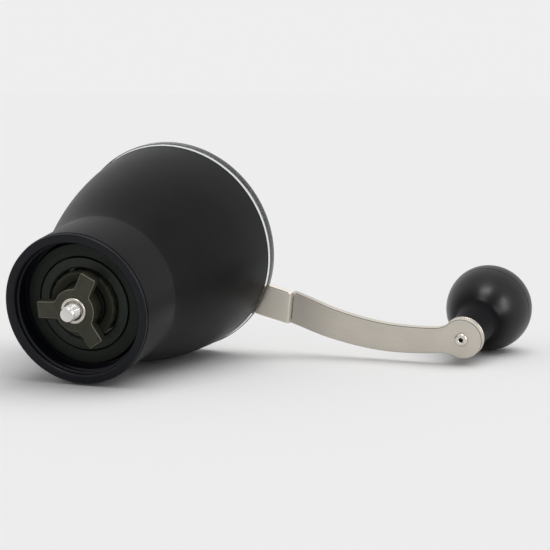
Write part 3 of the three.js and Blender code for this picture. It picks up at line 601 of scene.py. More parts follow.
SHELL = moulded_plastic("shell_plastic", (0.0037, 0.0038, 0.0042), 0.4, gloss=0.125)
COLLAR = moulded_plastic("collar_plastic", (0.0062, 0.0068, 0.0105), 0.36, gloss=0.2)
RETAINER = moulded_plastic("retainer_plastic", (0.0095, 0.0135, 0.0095), 0.5, gloss=0.2)
INNER = moulded_plastic("inner_plastic", (0.02, 0.02, 0.021), 0.5)
# The nut's rounded lower edge is painted much paler: a painted highlight line.
NUT = moulded_plastic("nut_plastic", (0.052, 0.0515, 0.036), 0.48, grain=0.5, gloss=0.25, rub_and_highlight=5.5,
                      highlight_brim=NUT_FACE)
# The carrier is of the nut's plastic but painted near black: painted shade beside the nut.
CARRIER_SHADE = moulded_plastic("carrier_shade_plastic", (0.012, 0.012, 0.01), 0.55, "nut_plastic", gloss=0.1)
GRIP = moulded_plastic("knob_plastic", (0.004, 0.0032, 0.0042), 0.32, gloss=0.12)
LACQUER = handled_lacquer("knob_lacquer", "knob_plastic", (0.0045, 0.0036, 0.0047), 0.6)
WHITE = moulded_plastic("white_plastic", (0.6, 0.58, 0.52), 0.45, pale=1.1, rub_and_highlight=1.1)
RING_CERAMIC = fired_ceramic("burr_ceramic", (0.014, 0.0185, 0.0135))
CONE_CERAMIC = fired_ceramic("cone_ceramic", (0.036, 0.0355, 0.024))
NICKEL = brushed_nickel("arm_steel", (0.7, 0.65, 0.572), stretch=(14, 1, 1))
STEEL = turned_steel("bright_steel", (0.72, 0.71, 0.69), 0.24)
INSERT_STEEL = turned_steel("insert_steel", (0.64, 0.6, 0.54), 0.3, "bright_steel")
SPINDLE_STEEL = turned_steel("spindle_steel", (0.7, 0.66, 0.6), 0.28, "bright_steel", KNOB_AXIS)
SPRING = turned_steel("spring_steel", (0.42, 0.42, 0.41), 0.3)
BRONZE = sintered_bronze("bush_bronze", (0.36, 0.21, 0.09))
# The lid's near-black rim colour is painted shade.
CLEAR = clear_moulding("clear_plastic", (0.93, 0.96, 0.96), (0.02, 0.02, 0.022))


# Housing

def bowl_radius(z):
    """Outside of the hopper above its neck at height z: a cubic curve over the shoulder to the rim."""
    t = np.linspace(0, 1, 600)
    weights = np.stack([(1 - t) ** 3, 3 * t * (1 - t) ** 2, 3 * t ** 2 * (1 - t), t ** 3], axis=-1)
    r, height = (weights @ np.array(BOWL_CURVE)).T
    return np.interp(z, height, r)


def hopper():
    """Neck, bowl, rim, funnel and burr sleeve as one closed outline turned about the shaft."""
    up = np.linspace(NECK_TOP + 1.2, HOPPER_TOP - 0.9, 66)
    down = np.linspace(HOPPER_TOP - 1.0, LEDGE_TOP + 1.5, 50)
    skirt = np.linspace(36.0, NECK_TOP + 1.0, 10)
    corners = np.concatenate([
        [[NECK_RADIUS, NECK_FOOT, 0.2], [NECK_RADIUS, NECK_TOP, 0.5]],
        plain(bowl_radius(up), up),
        [[RIM_RADIUS, HOPPER_TOP, 0.6], [RIM_RADIUS - HOPPER_WALL, HOPPER_TOP, 0.6]],
        plain(bowl_radius(down) - HOPPER_WALL, down),
        [[bowl_radius(LEDGE_TOP) - HOPPER_WALL, LEDGE_TOP, 1.0], [FUNNEL_RADIUS, LEDGE_TOP, 1.4],
         [THROAT_RADIUS, THROAT + 1.0, 0.6], [THROAT_RADIUS, THROAT, 0.3], [SLEEVE_BORE, THROAT, 0.3],
         [SLEEVE_BORE, SLEEVE_BOTTOM, 0.3], [SLEEVE_RADIUS, SLEEVE_BOTTOM, 0.3], [SLEEVE_RADIUS, 24.1, 1.5],
         [28.3, 37.0, 1.0]],
        plain(bowl_radius(skirt) - HOPPER_WALL, skirt),
        [[29.0, SOCKET_TOP, 0.1], [NECK_BORE, SOCKET_TOP, 0.1], [NECK_BORE, NECK_FOOT, 0.1]],
    ])
    points, quads = turned(rounded(corners), facets=192)
    make_piece("hopper_body", points, quads, "housing", SHELL, ["hopper_shell"])


def jar_thread(r, z, a):
    """Minus the higher of two ridges a pitch apart that run out at both ends.

    A ridge is a rounded hump on the distance from its helix, and only the mouth's own wall has it.
    """
    ridge = np.zeros_like(r)
    for lap in range(2):
        along = a + TURN * lap
        middle = THREAD_START + THREAD_PITCH * along / TURN
        ends = np.clip(along / THREAD_FADE, 0, 1) * np.clip((THREAD_TURNS * TURN - along) / THREAD_FADE, 0, 1)
        hump = np.exp(-((z - middle) / THREAD_HALF_WIDTH) ** 4) * ends
        ridge = np.maximum(ridge, hump)
    on_wall = (np.abs(r - MOUTH_RADIUS) < 0.1) & (z < MOUTH_TOP + 0.1)
    return np.where(on_wall, -THREAD_DEPTH * ridge, 0.0)


def collar():
    """Jar collar: turned outline whose mouth wall is drawn in along a helix as a thread."""
    wall = np.linspace(MOUTH_TOP - 0.2, 0.9, 60)
    corners = np.concatenate([
        [[COLLAR_RADIUS, 0.0, 0.55], [COLLAR_RADIUS, COLLAR_LIP, 0.3], [COLLAR_SLEEVE, COLLAR_LIP, 0.05],
         [COLLAR_SLEEVE, COLLAR_TOP, 0.3], [27.6, COLLAR_TOP, 0.3], [COLLAR_LEDGE, 12.95, 0.1],
         [COLLAR_LEDGE, 11.4, 0.3], [RELIEF_RADIUS, 11.4, 0.2], [RELIEF_RADIUS, 7.1, 0.2],
         [MOUTH_RADIUS, MOUTH_TOP, 0.15]],
        plain(np.full_like(wall, MOUTH_RADIUS), wall),
        [[MOUTH_RADIUS, 0.7, 0.3], [RELIEF_RADIUS, 0.0, 0.3]],
    ])
    points, quads = turned(rounded(corners), facets=192, swell=jar_thread)
    make_piece("collar_ring", points, quads, "housing", COLLAR, ["jar_collar"])


def retainer():
    turned_piece("retainer_ring", [
        [RETAINER_BORE, JAR_SEAT, 0.25], [RETAINER_RADIUS, JAR_SEAT, 0.45], [RETAINER_RADIUS, 18.15, 0.3],
        [23.3, 18.15, 0.2], [23.3, 11.6, 0.2], [RETAINER_BORE, 11.6, 0.1],
    ], "housing", RETAINER, ["burr_retainer"], facets=160)


def ring_teeth(r, z, a):
    """Saw wave round the bore whose crests lean as they climb, with a short steep side."""
    phase = (OUTER_TEETH * a / TURN - OUTER_LEAN * (z - OUTER_LAND[0])) % 1.0
    toothed = (r < 18.0) & (z > 8.9) & (z < 26.1)
    return np.where(toothed, -TOOTH_DEPTH * (1 - phase) * np.clip(phase / 0.12, 0, 1), 0.0)


def ring_burr():
    """Fixed burr: turned outline whose inner land and cone carry leaning saw teeth."""
    low, high = OUTER_LAND
    land = np.linspace(low, high, 10)
    cone = np.linspace(high + 0.5, OUTER_CONE_TOP, 24)
    corners = np.concatenate([
        plain(np.full_like(land, OUTER_BORE), land),
        plain(OUTER_BORE + OUTER_FLARE * (cone - high) / (OUTER_CONE_TOP - high), cone),
        [[18.5, OUTER_TOP, 0.2], [OUTER_RADIUS, OUTER_TOP, 0.3], [OUTER_RADIUS, 11.7, 0.1], [19.3, 11.7, 0.1],
         [19.3, BURR_FACE, 0.3], [15.5, BURR_FACE, 0.25]],
    ])
    points, quads = turned(rounded(corners), facets=384, swell=ring_teeth)
    make_piece("ring_burr", points, quads, "housing", RING_CERAMIC, ["outer_burr"])


def bridge_leg(name, bearing):
    """Leg along a bearing: a squared-up section that widens with the square of the way from its middle."""
    sides = 32
    length = np.linspace(*LEG_SPAN, 25)[:, None]
    b = around(sides)[None]
    from_middle = (2 * length - sum(LEG_SPAN)) / (LEG_SPAN[1] - LEG_SPAN[0])
    across = LEG_HALF_WIDTH * squared_up(np.cos(b), LEG_SQUARENESS) * (1 + 0.25 * from_middle ** 2)
    up = LEG_HEIGHT + LEG_HALF_HEIGHT * squared_up(np.sin(b), LEG_SQUARENESS) + 0 * length
    x = length * np.cos(bearing) - across * np.sin(bearing)
    y = length * np.sin(bearing) + across * np.cos(bearing)
    leg = capped(np.stack([x, y, up], axis=-1))
    make_piece(name, leg, grid_quads(len(leg), sides), "housing", INNER)


def bridge():
    """Bridge inside the hopper: a ring, a tower for the bushes and three legs between them."""
    inner, outer, low, high = BRIDGE_RING
    turned_piece("bridge_ring", [
        [inner, low, 0.3], [outer, low, 0.3], [outer, high, 0.6], [inner, high, 0.6],
    ], "housing", INNER, ["bearing_spider"], facets=128)
    turned_piece("bridge_tower", [
        [5.6, TOWER_BOTTOM, 0.2], [TOWER_RADIUS, TOWER_BOTTOM, 0.3], [TOWER_RADIUS, TOWER_TOP, 0.5],
        [5.6, TOWER_TOP, 0.2], [5.6, 51.0, 0.2], [5.0, 51.0, 0.1], [5.0, 41.1, 0.1], [5.6, 41.1, 0.1],
    ], "housing", INNER, facets=64)
    for k in range(3):
        bridge_leg(f"bridge_leg_{k + 1}", np.radians(30 + 120 * k))


def bush(name, node, seat, side):
    """Flanged bush: from its seat, to the given side, a flange and then a sleeve into the tower."""
    bore, sleeve, flange = 4.08, 5.48, 6.9
    thick, length = 1.0, 7.8
    turned_piece(name, [
        [bore, seat, 0.25], [flange, seat, 0.3], [flange, seat + side * thick, 0.1],
        [sleeve, seat + side * thick, 0.05], [sleeve, seat + side * length, 0.2],
        [bore, seat + side * length, 0.2],
    ], "housing", BRONZE, [node], facets=64)


def bridge_screws():
    """Cross-headed screws of the bridge: a domed head whose top dips along two crossed slots."""
    rise = np.linspace(0.1, np.pi / 2, 14)
    dome_foot = SCREW_SEAT + 0.4
    r = np.concatenate([[0.0, 1.35, 1.35, 2.5, SCREW_HEAD], SCREW_HEAD * np.cos(rise)])
    z = np.concatenate([[41.5, 41.9, SCREW_SEAT, SCREW_SEAT, 47.4], dome_foot + SCREW_DOME * np.sin(rise)])
    for k in range(3):
        bearing = np.pi / 2 + TURN * k / 3
        points, quads = turned(np.stack([r, z], axis=-1), facets=64)
        across = np.abs(points[..., :2])
        near_slot = across.min(axis=-1) < SLOT_HALF_WIDTH
        in_reach = np.hypot(across[..., 0], across[..., 1]) < SLOT_REACH
        points[..., 2] -= SLOT_DEPTH * (near_slot & in_reach & (points[..., 2] > dome_foot))
        points[..., :2] += SCREW_CIRCLE * np.array([np.cos(bearing), np.sin(bearing)])
        make_piece(f"bridge_screw_{k + 1}", points, quads, "housing", STEEL, [f"spider_screw_{k + 1}"])


# Lid

def lid():
    """Clear lid: plate, stepped rim, plug skirt and a boss round the shaft's hole."""
    inner, outer = SKIRT_RADII
    turned_piece("lid_disc", [
        [LID_HOLE, 95.0, 0.3], [8.5, 95.0, 0.4], [8.5, PLATE_UNDERSIDE, 0.5], [inner, PLATE_UNDERSIDE, 0.8],
        [inner, SKIRT_BOTTOM, 0.4], [outer, SKIRT_BOTTOM, 0.4], [outer, LID_SEAT, 0.2], [45.4, LID_SEAT, 0.2],
        [45.4, LID_STEP, 0.15], [LID_RADIUS, LID_STEP, 0.35], [LID_RADIUS, LID_TOP, 0.7],
        [LID_HOLE, LID_TOP, 0.4],
    ], "lid", CLEAR, ["clear_lid"], facets=256, steps=5)


# Drive

def shaft():
    """Shaft: sections that change from a threaded round to a flatted round, a plain round and a hexagon.

    The thread's radius dips by a triangle wave on height minus turn, faded in from the foot. A flat's radius
    is its half width over the cosine.
    """
    facets = 144
    stud = np.linspace(-6.7, NUT_TOP, 150)
    groove_low, groove_high, groove_radius = CLIP_GROOVE
    profile = np.concatenate([
        [[0.0, STUD_FOOT], [2.75, STUD_FOOT]],
        np.stack([np.full_like(stud, STUD_RADIUS), stud], axis=-1),
        [[SHAFT_RADIUS, NUT_TOP], [SHAFT_RADIUS, FLATS_TOP], [SHAFT_RADIUS, FLATS_TOP + 0.1],
         [SHAFT_RADIUS, groove_low - 0.05], [groove_radius, groove_low], [groove_radius, groove_high],
         [SHAFT_RADIUS, groove_high + 0.05], [SHAFT_RADIUS, LID_TOP - 0.15], [HEXAGON_CORNER, LID_TOP],
         [HEXAGON_CORNER, SHAFT_TOP - 0.5], [4.2, SHAFT_TOP], [0.0, SHAFT_TOP]],
    ])
    r, z, angle = lathe_grids(profile, facets)
    wave = np.abs(((z - STUD_PITCH * angle / TURN) / STUD_PITCH % 1.0) - 0.5) * 2
    threaded = (z > -6.8) & (z <= NUT_TOP) & (r < STUD_RADIUS + 0.1)
    r = np.where(threaded, r - STUD_DEPTH * wave * np.clip((z + 6.9) / 0.8, 0, 1), r)
    flat = SHAFT_FLAT / np.maximum(np.abs(np.cos(angle)), 1e-6)
    r = np.where((z >= NUT_TOP) & (z <= FLATS_TOP) & (r > SHAFT_FLAT), np.minimum(r, flat), r)
    hexagon = HEXAGON_HALF / np.cos(angle % (TURN / 6) - TURN / 12)
    r = np.where((z >= LID_TOP) & (r > 0), np.minimum(r, hexagon), r)
    points, quads = polar(r, angle, z), grid_quads(len(profile), facets)
    make_piece("drive_shaft", points, quads, "drive", STEEL, ["main_shaft"])


def drive_rings():
    split_ring("drive_clip", "shaft_clip", (3.55, 6.2), 59.15, "drive")
    turned_piece("drive_washer", [
        [4.1, 31.75, 0.15], [7.0, 31.75, 0.2], [7.0, 32.95, 0.2], [4.1, 32.95, 0.15],
    ], "drive", WHITE, ["thrust_washer"], facets=64)
    coiled("burr_coil", "burr_spring", radius=5.6, wire=0.45, span=(25.85, 31.05), turns=3.5, body="drive",
           finish=SPRING)


# Grinding cone

def cone_blades(r, z, a):
    """Minus leaning teeth that fade with height, minus a squared sine that grows upward into the lobes."""
    climb = np.clip((z - INNER_LAND_TOP) / (INNER_TOP - INNER_LAND_TOP), 0, 1)
    phase = (INNER_TEETH * a / TURN - INNER_LEAN * (z - INNER_FACE)) % 1.0
    lobe = 0.5 - 0.5 * np.cos(LOBES * a - LOBE_SWEEP * TURN * climb)
    in_recess = (r < RECESS_RADII[1] + 0.1) & (z < RECESS_ROOF + 0.3)
    on_side = (z >= INNER_LAND_FOOT - 0.1) & (z <= INNER_CONE_TOP + 0.1) & (r > 8.0) & ~in_recess
    return np.where(on_side, -TOOTH_DEPTH * phase * (1 - climb) - LOBE_DEPTH * lobe * climb, 0.0)


def cone_burr():
    """Turning burr: fine teeth low on the side fade upward into five deep sweeping feed lobes."""
    land = np.linspace(INNER_LAND_FOOT, INNER_LAND_TOP - 0.4, 10)
    taper = INNER_TAPER * (land - INNER_LAND_FOOT) / (INNER_LAND_TOP - INNER_LAND_FOOT)
    up = np.linspace(INNER_LAND_TOP, INNER_CONE_TOP, 36)
    share = (up - INNER_LAND_TOP) / (INNER_CONE_TOP - INNER_LAND_TOP)
    corners = np.concatenate([
        [[13.5, INNER_FACE, 0.25]],
        plain(INNER_RADIUS - taper, land),
        plain(INNER_CREST + INNER_SPREAD * (1 - share ** 1.3), up),
        [[7.8, INNER_TOP, 0.4], [INNER_BORE, INNER_TOP, 0.2], [INNER_BORE, RECESS_ROOF, 0.2],
         [RECESS_RADII[0], RECESS_ROOF, 0.2], [RECESS_RADII[0] + 0.2, INNER_FACE + 1.1, 0.4],
         [RECESS_RADII[1], INNER_FACE, 0.25]],
    ])
    points, quads = turned(rounded(corners), facets=360, swell=cone_blades)
    make_piece("cone_burr", points, quads, "grinding", CONE_CERAMIC, ["inner_burr"])
    turned_piece("cone_carrier", [
        [CARRIER_BORE, 5.85, 0.2], [8.6, 5.85, 0.3], [8.6, 6.85, 0.2], [9.4, 6.85, 0.3], [9.4, 8.85, 0.3],
        [6.1, 8.85, 0.1], [6.1, CARRIER_TOP, 0.4], [CARRIER_BORE, CARRIER_TOP, 0.3],
    ], "grinding", CARRIER_SHADE, ["burr_carrier"])


# Adjusting nut

def wing_outline():
    """Plan of the nut: its radius is the smooth largest of the hub's circle and each wing's square end.

    A wing's radius is the smooth smaller of tip / cos and half width / sin of the angle from its middle line.
    """
    a = around(900)
    total = np.full_like(a, NUT_HUB) ** WING_BLEND
    for k in range(3):
        off = (a - np.radians(WING_BEARING + 120 * k) + np.pi) % TURN - np.pi
        tip = WING_TIP / np.maximum(np.cos(off), 0.05)
        side = WING_HALF_WIDTH / np.maximum(np.abs(np.sin(off)), 1e-3)
        wing = (tip ** -WING_SQUARENESS + side ** -WING_SQUARENESS) ** (-1 / WING_SQUARENESS)
        total = total + np.where(np.abs(off) < np.pi / 2, wing, 0.5) ** WING_BLEND
    radius = total ** (1 / WING_BLEND)
    return np.stack([radius * np.cos(a), radius * np.sin(a)], axis=-1)


def wing_nut():
    """Three-winged nut: a flat plate round its bore, a collar behind it and a metal bushing."""
    outline = wing_outline()
    low, high = NUT_FACE, NUT_FACE + WING_THICKNESS
    drawn, height = edge_rounds(0.45, low, high)
    bore = NUT_BORE * outline / np.linalg.norm(outline, axis=1, keepdims=True)
    plan = np.concatenate([bore[None], shifted_rings(outline, drawn), bore[None]])
    height = np.concatenate([[low], height, [high]])
    points = np.concatenate([plan, height[:, None, None] + 0 * plan[..., :1]], axis=-1)
    quads = grid_quads(len(points), len(outline), wrap_rows=True)
    make_piece("wing_nut", points, quads, "adjuster", NUT, ["adjusting_nut"])
    turned_piece("nut_collar", [
        [NUT_BORE, low + 1.0, 0.1], [8.65, low + 1.0, 0.1], [8.65, NUT_TOP - 0.05, 0.3],
        [NUT_BORE, NUT_TOP - 0.05, 0.1],
    ], "adjuster", NUT)
    turned_piece("nut_bushing", [
        [3.3, -0.9, 0.1], [4.1, -1.7, 0.15], [5.2, -1.7, 0.25], [5.4, -1.2, 0.1], [5.4, 5.7, 0.1],
        [3.3, 5.7, 0.1],
    ], "adjuster", INSERT_STEEL, ["nut_insert"])


# Crank

def arm_line():
    """Plan line of the arm: cubic spans through the points of the bow, each tangent to its neighbours' chord.

    Returned are x, y and the share of the arm's length, close together round the step and the eye.
    """
    shares = np.array([[0, 0], [0.149, 0.63], [0.283, 0.913], [0.432, 0.918], [0.581, 1], [0.737, 0.867],
                       [0.879, 0.494], [1, 0]])
    knots = shares * [ARM_REACH, ARM_BOW]
    s = np.linspace(0, len(knots) - 1, 1400)
    i = np.minimum(s.astype(int), len(knots) - 2)
    t = (s - i)[:, None]
    p0, p1 = knots[np.maximum(i - 1, 0)], knots[i]
    p2, p3 = knots[i + 1], knots[np.minimum(i + 2, len(knots) - 1)]
    v1, v2 = (p2 - p0) / 2, (p3 - p1) / 2
    line = (2 * p1 - 2 * p2 + v1 + v2) * t ** 3 + (3 * p2 - 3 * p1 - 2 * v1 - v2) * t ** 2 + v1 * t + p1
    x = np.unique(np.concatenate([
        np.linspace(0, ARM_REACH, 130), np.linspace(ARM_STEP[0] - 2.5, ARM_STEP[1] + 2.5, 70),
        np.linspace(ARM_REACH - 14, ARM_REACH, 40)]))
    y = np.interp(x, line[:, 0], line[:, 1])
    return x, y, np.interp(x, line[:, 0], s / (len(knots) - 1))


def arm_lift(x, y):
    """Height of the step: one smooth rise along a line that slants with y."""
    from_step = x - (y - STEP_MIDDLE) * STEP_SLANT
    share = np.clip((from_step - ARM_STEP[0]) / (ARM_STEP[1] - ARM_STEP[0]), 0, 1)
    return ARM_RISE * share ** 2 * (3 - 2 * share)


def arm_half_width(share, distance, chord):
    """Half the arm's width: it thins with the square of the share, then an arc leads into the eye's circle.

    The arc is tangent to the strip's side and to the circle; past its end the circle's chord takes over.
    """
    strip = (ARM_WIDTHS[0] + (ARM_WIDTHS[1] - ARM_WIDTHS[0]) * share ** 2) / 2
    swing = EYE_RADIUS + EYE_FILLET
    start = np.sqrt(swing ** 2 - (strip + EYE_FILLET) ** 2)
    end = start * EYE_RADIUS / swing
    run = np.clip(start - distance, 0, None)
    arc = strip + EYE_FILLET - np.sqrt(np.clip(EYE_FILLET ** 2 - run ** 2, 0, None))
    return np.where(distance < end, chord, arc)


def arm_shores():
    """Plan outline of the arm: out along its left side, back along its right.

    The plan line runs on straight past both ends, to the far side of each end disc. Half the width is the
    disc's chord there, and between the discs the smooth largest of the strip and the hub's chord.
    """
    x, y, share = arm_line()
    line = np.stack([x, y], axis=-1)
    step = np.gradient(line, axis=0)
    step /= np.linalg.norm(step, axis=1, keepdims=True)
    past = 39
    over = np.sin(np.linspace(0, np.pi / 2, past + 1))[:, None]
    head = line[:1] - step[:1] * HUB_RADIUS * over[::-1]
    tail = line[-1:] + step[-1:] * EYE_RADIUS * over
    path = np.concatenate([head[:-1], line, tail[1:]])
    ahead = np.concatenate([np.repeat(step[:1], past, 0), step, np.repeat(step[-1:], past, 0)])
    from_eye = np.linalg.norm(path - KNOB_AXIS, axis=1)
    hub = np.sqrt(np.clip(HUB_RADIUS ** 2 - (path ** 2).sum(axis=1), 0, None))
    eye = np.sqrt(np.clip(EYE_RADIUS ** 2 - from_eye ** 2, 0, None))
    strip = arm_half_width(share, from_eye[past:-past], eye[past:-past])
    strip = (strip ** HUB_BLEND + hub[past:-past] ** HUB_BLEND) ** (1 / HUB_BLEND)
    half = np.concatenate([hub[:past], np.minimum(strip, HUB_RADIUS), eye[-past:]])
    left = np.stack([-ahead[:, 1], ahead[:, 0]], axis=-1)
    return np.concatenate([path + left * half[:, None], (path - left * half[:, None])[::-1]])


def crank_arm():
    """Flat strip: rings of its plan outline climb its rounded sides, and its faces are grids across it.

    A grid's inner lines keep the face's shading apart from its edges. All heights rise by the step.
    """
    shores = arm_shores()
    count, half_count = len(shores), len(shores) // 2
    drawn, height = edge_rounds(ARM_EDGE, 0, ARM_THICKNESS)
    rings = shifted_rings(shores, -drawn)
    for tips in ([0, count - 1], [half_count - 1, half_count]):
        rings[:, tips] = rings[:, tips].mean(axis=1, keepdims=True)
    z = ARM_UNDERSIDE + height[:, None] + arm_lift(rings[..., 0], rings[..., 1])
    points = np.concatenate([rings, z[..., None]], axis=-1)
    parts, quads = [points.reshape(-1, 3)], [grid_quads(len(rings), count)]
    shares = np.array([0.0, 0.07, 0.3, 0.5, 0.7, 0.93, 1.0])[:, None, None]
    for ring, level in ((points[0], ARM_UNDERSIDE), (points[-1], ARM_TOP)):
        face = ring[:half_count] * (1 - shares) + ring[::-1][:half_count] * shares
        face[1:-1, :, 2] = level + arm_lift(face[1:-1, :, 0], face[1:-1, :, 1])
        quads.append(sum(map(len, parts)) + grid_quads(len(shares), half_count, wrap_columns=False))
        parts.append(face.reshape(-1, 3))
    make_piece("arm_strip", np.concatenate(parts), np.concatenate(quads), "crank", NICKEL, ["crank_arm"])


def crank_hub():
    """Flanged socket on the arm, and a domed button that closes it."""
    inner, outer = CRANK_SOCKET_RADII
    foot, shelf, rim = ARM_TOP + 0.05, ARM_TOP + 2.05, ARM_TOP + 8.05
    turned_piece("hub_socket", [
        [CRANK_SOCKET_BORE, foot, 0.1], [outer, foot, 0.4], [outer, shelf, 0.4], [inner, shelf, 0.3],
        [inner, rim, 0.3], [CRANK_SOCKET_BORE, rim, 0.1],
    ], "crank", STEEL, ["crank_hub"])
    q = np.linspace(0, np.pi / 2, 16)
    seat = rim + 0.05
    dome = plain(inner * np.cos(q), seat + 0.8 + 2.4 * np.sin(q))
    plug = [[0, seat - 1.2, 0], [3.8, seat - 1.2, 0.3], [3.8, seat, 0.1], [inner, seat, 0.2]]
    turned_piece("hub_button", np.concatenate([plug, dome]), "crank", GRIP, ["hub_cap"])


def knob_fittings():
    """Riveted spindle end with its centre hole, the washer behind the arm and the clip inside the knob."""
    head = EYE_UNDERSIDE - 1.6
    neck, pin = SPINDLE_RADII
    shoulder = WASHER_SEAT + 1.0
    groove_low, groove_high, top = CLIP_SEAT - 0.05, CLIP_SEAT + 1.05, CLIP_SEAT + 3.0
    turned_piece("spindle_rivet", [
        [0, head + 3.0, 0], [0.95, head + 3.0, 0.1], [0.95, head + 0.3, 0.1], [1.25, head, 0.2],
        [2.4, head + 0.05, 0.4], [2.85, head + 0.5, 0.3], [2.85, WASHER_SEAT, 0.1], [5.2, WASHER_SEAT, 0.2],
        [5.2, shoulder, 0.2], [pin, shoulder, 0.2], [pin, groove_low, 0.1], [neck, groove_low, 0.1],
        [neck, groove_high, 0.1], [pin, groove_high, 0.1], [pin, top, 0.4], [0, top, 0],
    ], "crank", SPINDLE_STEEL, ["knob_spindle"], KNOB_AXIS)
    # A near-black plug deep in the rivet's hole: painted shade standing in for the hole's darkness.
    turned_piece("rivet_hole_shade", [
        [0, head + 0.5, 0], [0.9, head + 0.5, 0.1], [0.9, head + 2.9, 0.1], [0, head + 2.9, 0],
    ], "crank", GRIP, centre=KNOB_AXIS, facets=32)
    turned_piece("spindle_washer", [
        [5.3, WASHER_SEAT, 0.1], [9.0, WASHER_SEAT, 0.25], [9.0, WASHER_SEAT + 0.9, 0.3],
        [5.3, WASHER_SEAT + 0.9, 0.1],
    ], "crank", SPINDLE_STEEL, ["knob_washer"], KNOB_AXIS)
    split_ring("spindle_clip", "knob_clip", (3.15, 6.2), CLIP_SEAT, "crank", KNOB_AXIS)


def knob_outside(z):
    """Radius of the grip at height z: a power blend of a widening neck and a drop, then a flatter dome."""
    below = np.minimum(z, KNOB_WIDEST)
    neck = KNOB_NECK + KNOB_NECK_SPREAD * (below - KNOB_BASE) / (KNOB_WIDEST - KNOB_BASE)
    drop = KNOB_RADIUS * np.sqrt(np.clip(1 - ((KNOB_WIDEST - below) / KNOB_DROP) ** 2, 0, None))
    girth = (neck ** KNOB_BLEND + drop ** KNOB_BLEND) ** (1 / KNOB_BLEND)
    return girth * np.sqrt(np.clip(1 - ((z - below) / KNOB_DOME) ** 2, 0, None))


def knob():
    """Ball-shaped grip on a neck: a body and an end cap that meet in a fine seam, and the lining inside."""
    z = np.linspace(KNOB_BASE + 0.5, KNOB_SEAM - 0.2, 90)
    grip = np.concatenate([
        [[KNOB_BORE, KNOB_BASE, 0.1], [KNOB_NECK, KNOB_BASE, 0.3]], plain(knob_outside(z), z),
        [[knob_outside(KNOB_SEAM) - 0.25, KNOB_SEAM, 0.1], [KNOB_WELL, KNOB_SEAM, 0.2],
         [KNOB_WELL, WELL_FLOOR, 0.2], [KNOB_BORE, WELL_FLOOR, 0.1]],
    ])
    turned_piece("knob_grip", grip, "knob", LACQUER, ["knob_body"], KNOB_AXIS, facets=160)
    seat = KNOB_SEAM + 0.05
    q = np.linspace(np.arcsin((seat + 0.2 - KNOB_WIDEST) / KNOB_DROP), np.pi / 2, 60)
    z = KNOB_WIDEST + np.where(q < 0, KNOB_DROP, KNOB_DOME) * np.sin(q)
    cap = np.concatenate([
        [[0, seat - 3.0, 0], [8.7, seat - 3.0, 0.3], [8.7, seat, 0.1],
         [knob_outside(seat) - 0.25, seat, 0.1]],
        plain(knob_outside(z), z)])
    turned_piece("knob_end", cap, "knob", LACQUER, ["knob_cap"], KNOB_AXIS, facets=160)
    turned_piece("knob_lining", [
        [3.68, KNOB_BASE, 0.1], [5.18, KNOB_BASE, 0.1], [5.18, WELL_FLOOR - 0.05, 0.1],
        [3.68, WELL_FLOOR - 0.05, 0.1],
    ], "knob", WHITE, ["knob_bush"], KNOB_AXIS, facets=64)


# Stage, light and camera

FLOOR_UP = Vector((-0.27226, -0.94834, 0.16288)).normalized()
FLOOR_AT = -31.4
FLOOR_REACH = 4000
VIEW_RIGHT = Vector((0.91093, -0.20791, 0.35635))
VIEW_DOWN = Vector((0.31529, 0.90789, -0.27627))
VIEW_AHEAD = Vector((-0.26609, 0.36401, 0.89258))
CAMERA_AT = Vector((259.89, -291.67, -611.6))
SENSOR_WIDTH = 36.0
LENS_LENGTH = 118.98
CLIPPING = (0.05, 20.0)
FLOOR_MIDDLE = Vector((52.0, 5.0, 60.0))
KNOB_AT = Vector((ARM_REACH, 0.0, 140.0))
GLEAM_REACH = 1500.0
PALE = (0.86, 0.86, 0.86)


def place_camera():
    data = bpy.data.cameras.new("camera")
    data.sensor_width = SENSOR_WIDTH
    data.lens = LENS_LENGTH
    data.clip_start, data.clip_end = CLIPPING
    camera = bpy.data.objects.new("camera", data)
    bpy.context.scene.collection.objects.link(camera)
    turn = Matrix((VIEW_RIGHT, -VIEW_DOWN, -VIEW_AHEAD)).transposed()
    camera.matrix_world = Matrix.Translation(CAMERA_AT * MM) @ turn.to_4x4()
    bpy.context.scene.camera = camera


def along_floor(direction):
    """The direction's part that lies in the floor, as a unit vector."""
    return (direction - FLOOR_UP * direction.dot(FLOOR_UP)).normalized()


def lay_floor():
    """Pale floor under the head. Seen from behind it is clear, so that it never hides the head."""
    side = along_floor(VIEW_RIGHT)
    ahead = FLOOR_UP.cross(side)
    middle = FLOOR_UP * FLOOR_AT + (FLOOR_MIDDLE - FLOOR_UP * FLOOR_MIDDLE.dot(FLOOR_UP))
    corners = []
    for a, b in ((-1, -1), (1, -1), (1, 1), (-1, 1)):
        corners.append(tuple((middle + side * a * FLOOR_REACH + ahead * b * FLOOR_REACH) * MM))
    mesh = bpy.data.meshes.new("floor")
    mesh.from_pydata(corners, [], [(0, 1, 2, 3)])
    finish = Finish("floor_card", **{"Roughness": 0.9, "Specular IOR Level": 0.1, "Base Color": PALE})
    back = finish.node("ShaderNodeNewGeometry", output="Backfacing")
    clear = finish.node("ShaderNodeBsdfTransparent")
    card = Field(finish, finish.shader.outputs[0])
    mixed = finish.node("ShaderNodeMixShader", sockets={0: back, 1: card, 2: clear})
    finish.feed(finish.tree.nodes["Material Output"].inputs["Surface"], mixed)
    mesh.materials.append(finish.material)
    floor = bpy.data.objects.new("floor", mesh)
    bpy.context.scene.collection.objects.link(floor)
    floor.visible_diffuse = False
    floor.visible_shadow = False


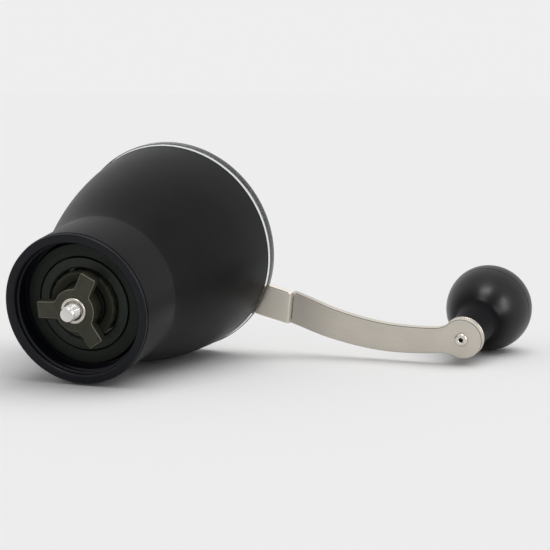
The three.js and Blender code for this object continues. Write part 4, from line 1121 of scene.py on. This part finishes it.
def light_sky(strength):
    """Even pale surround: its own strength on matt surfaces, the backdrop's tone to the eye and in gloss."""
    world = bpy.data.worlds.new("surround")
    bpy.context.scene.world = world
    world.use_nodes = True
    graph = Graph(world.node_tree)
    background = graph.tree.nodes["Background"]
    graph.feed(background.inputs["Color"], (1, 1, 1))
    graph.feed(background.inputs["Strength"], strength)
    light = Field(graph, background.outputs[0])
    seen = graph.node("ShaderNodeBackground", sockets={"Color": PALE})
    rays = graph.node("ShaderNodeLightPath", output="Is Camera Ray")
    for kind in ("Is Glossy Ray", "Is Transmission Ray"):
        rays = rays.worked("MAXIMUM", rays, graph.node("ShaderNodeLightPath", output=kind))
    mixed = graph.node("ShaderNodeMixShader", sockets={0: rays, 1: light, 2: seen})
    graph.feed(graph.tree.nodes["World Output"].inputs["Surface"], mixed)


def hang_gleam(name, right, up, ahead, width, height, radiance):
    """Soft lamp that only gloss shows: its way from the knob is given along the view."""
    way = (along_floor(VIEW_RIGHT) * right + FLOOR_UP * up + along_floor(VIEW_AHEAD) * ahead).normalized()
    rise = (FLOOR_UP - way * FLOOR_UP.dot(way)).normalized()
    data = bpy.data.lights.new(name, "AREA")
    data.shape = "RECTANGLE"
    data.size, data.size_y = width * MM, height * MM
    data.energy = radiance * np.pi * data.size * data.size_y
    lamp = bpy.data.objects.new(name, data)
    bpy.context.scene.collection.objects.link(lamp)
    turn = Matrix((rise.cross(way), rise, way)).transposed()
    lamp.matrix_world = Matrix.Translation((KNOB_AT + way * GLEAM_REACH) * MM) @ turn.to_4x4()
    lamp.visible_diffuse = False


def hang_sun(name, direction, strength, spread):
    """Distant lamp, spread degrees wide: the same soft light over the whole floor."""
    data = bpy.data.lights.new(name, "SUN")
    data.energy = strength
    data.angle = np.radians(spread)
    lamp = bpy.data.objects.new(name, data)
    bpy.context.scene.collection.objects.link(lamp)
    lamp.matrix_world = (-direction.normalized()).to_track_quat("-Z", "Y").to_matrix().to_4x4()
    lamp.visible_glossy = False


hopper()
collar()
retainer()
ring_burr()
bridge()
bush("bush_low", "lower_bush", seat=33.0, side=1)
bush("bush_high", "upper_bush", seat=59.1, side=-1)
bridge_screws()
lid()
shaft()
drive_rings()
cone_burr()
wing_nut()
crank_arm()
crank_hub()
knob_fittings()
knob()

place_camera()
lay_floor()
light_sky(strength=0.5)
hang_sun("top_light", FLOOR_UP + VIEW_AHEAD * 0.1 + VIEW_RIGHT * 0.35, strength=1.62, spread=65)
hang_gleam("upper_gleam", right=-0.08, up=0.94, ahead=-0.32, width=650, height=330, radiance=14.0)
hang_gleam("side_gleam", right=0.73, up=0.36, ahead=-0.56, width=270, height=850, radiance=14.0)
bpy.context.scene.view_settings.view_transform = "Standard"
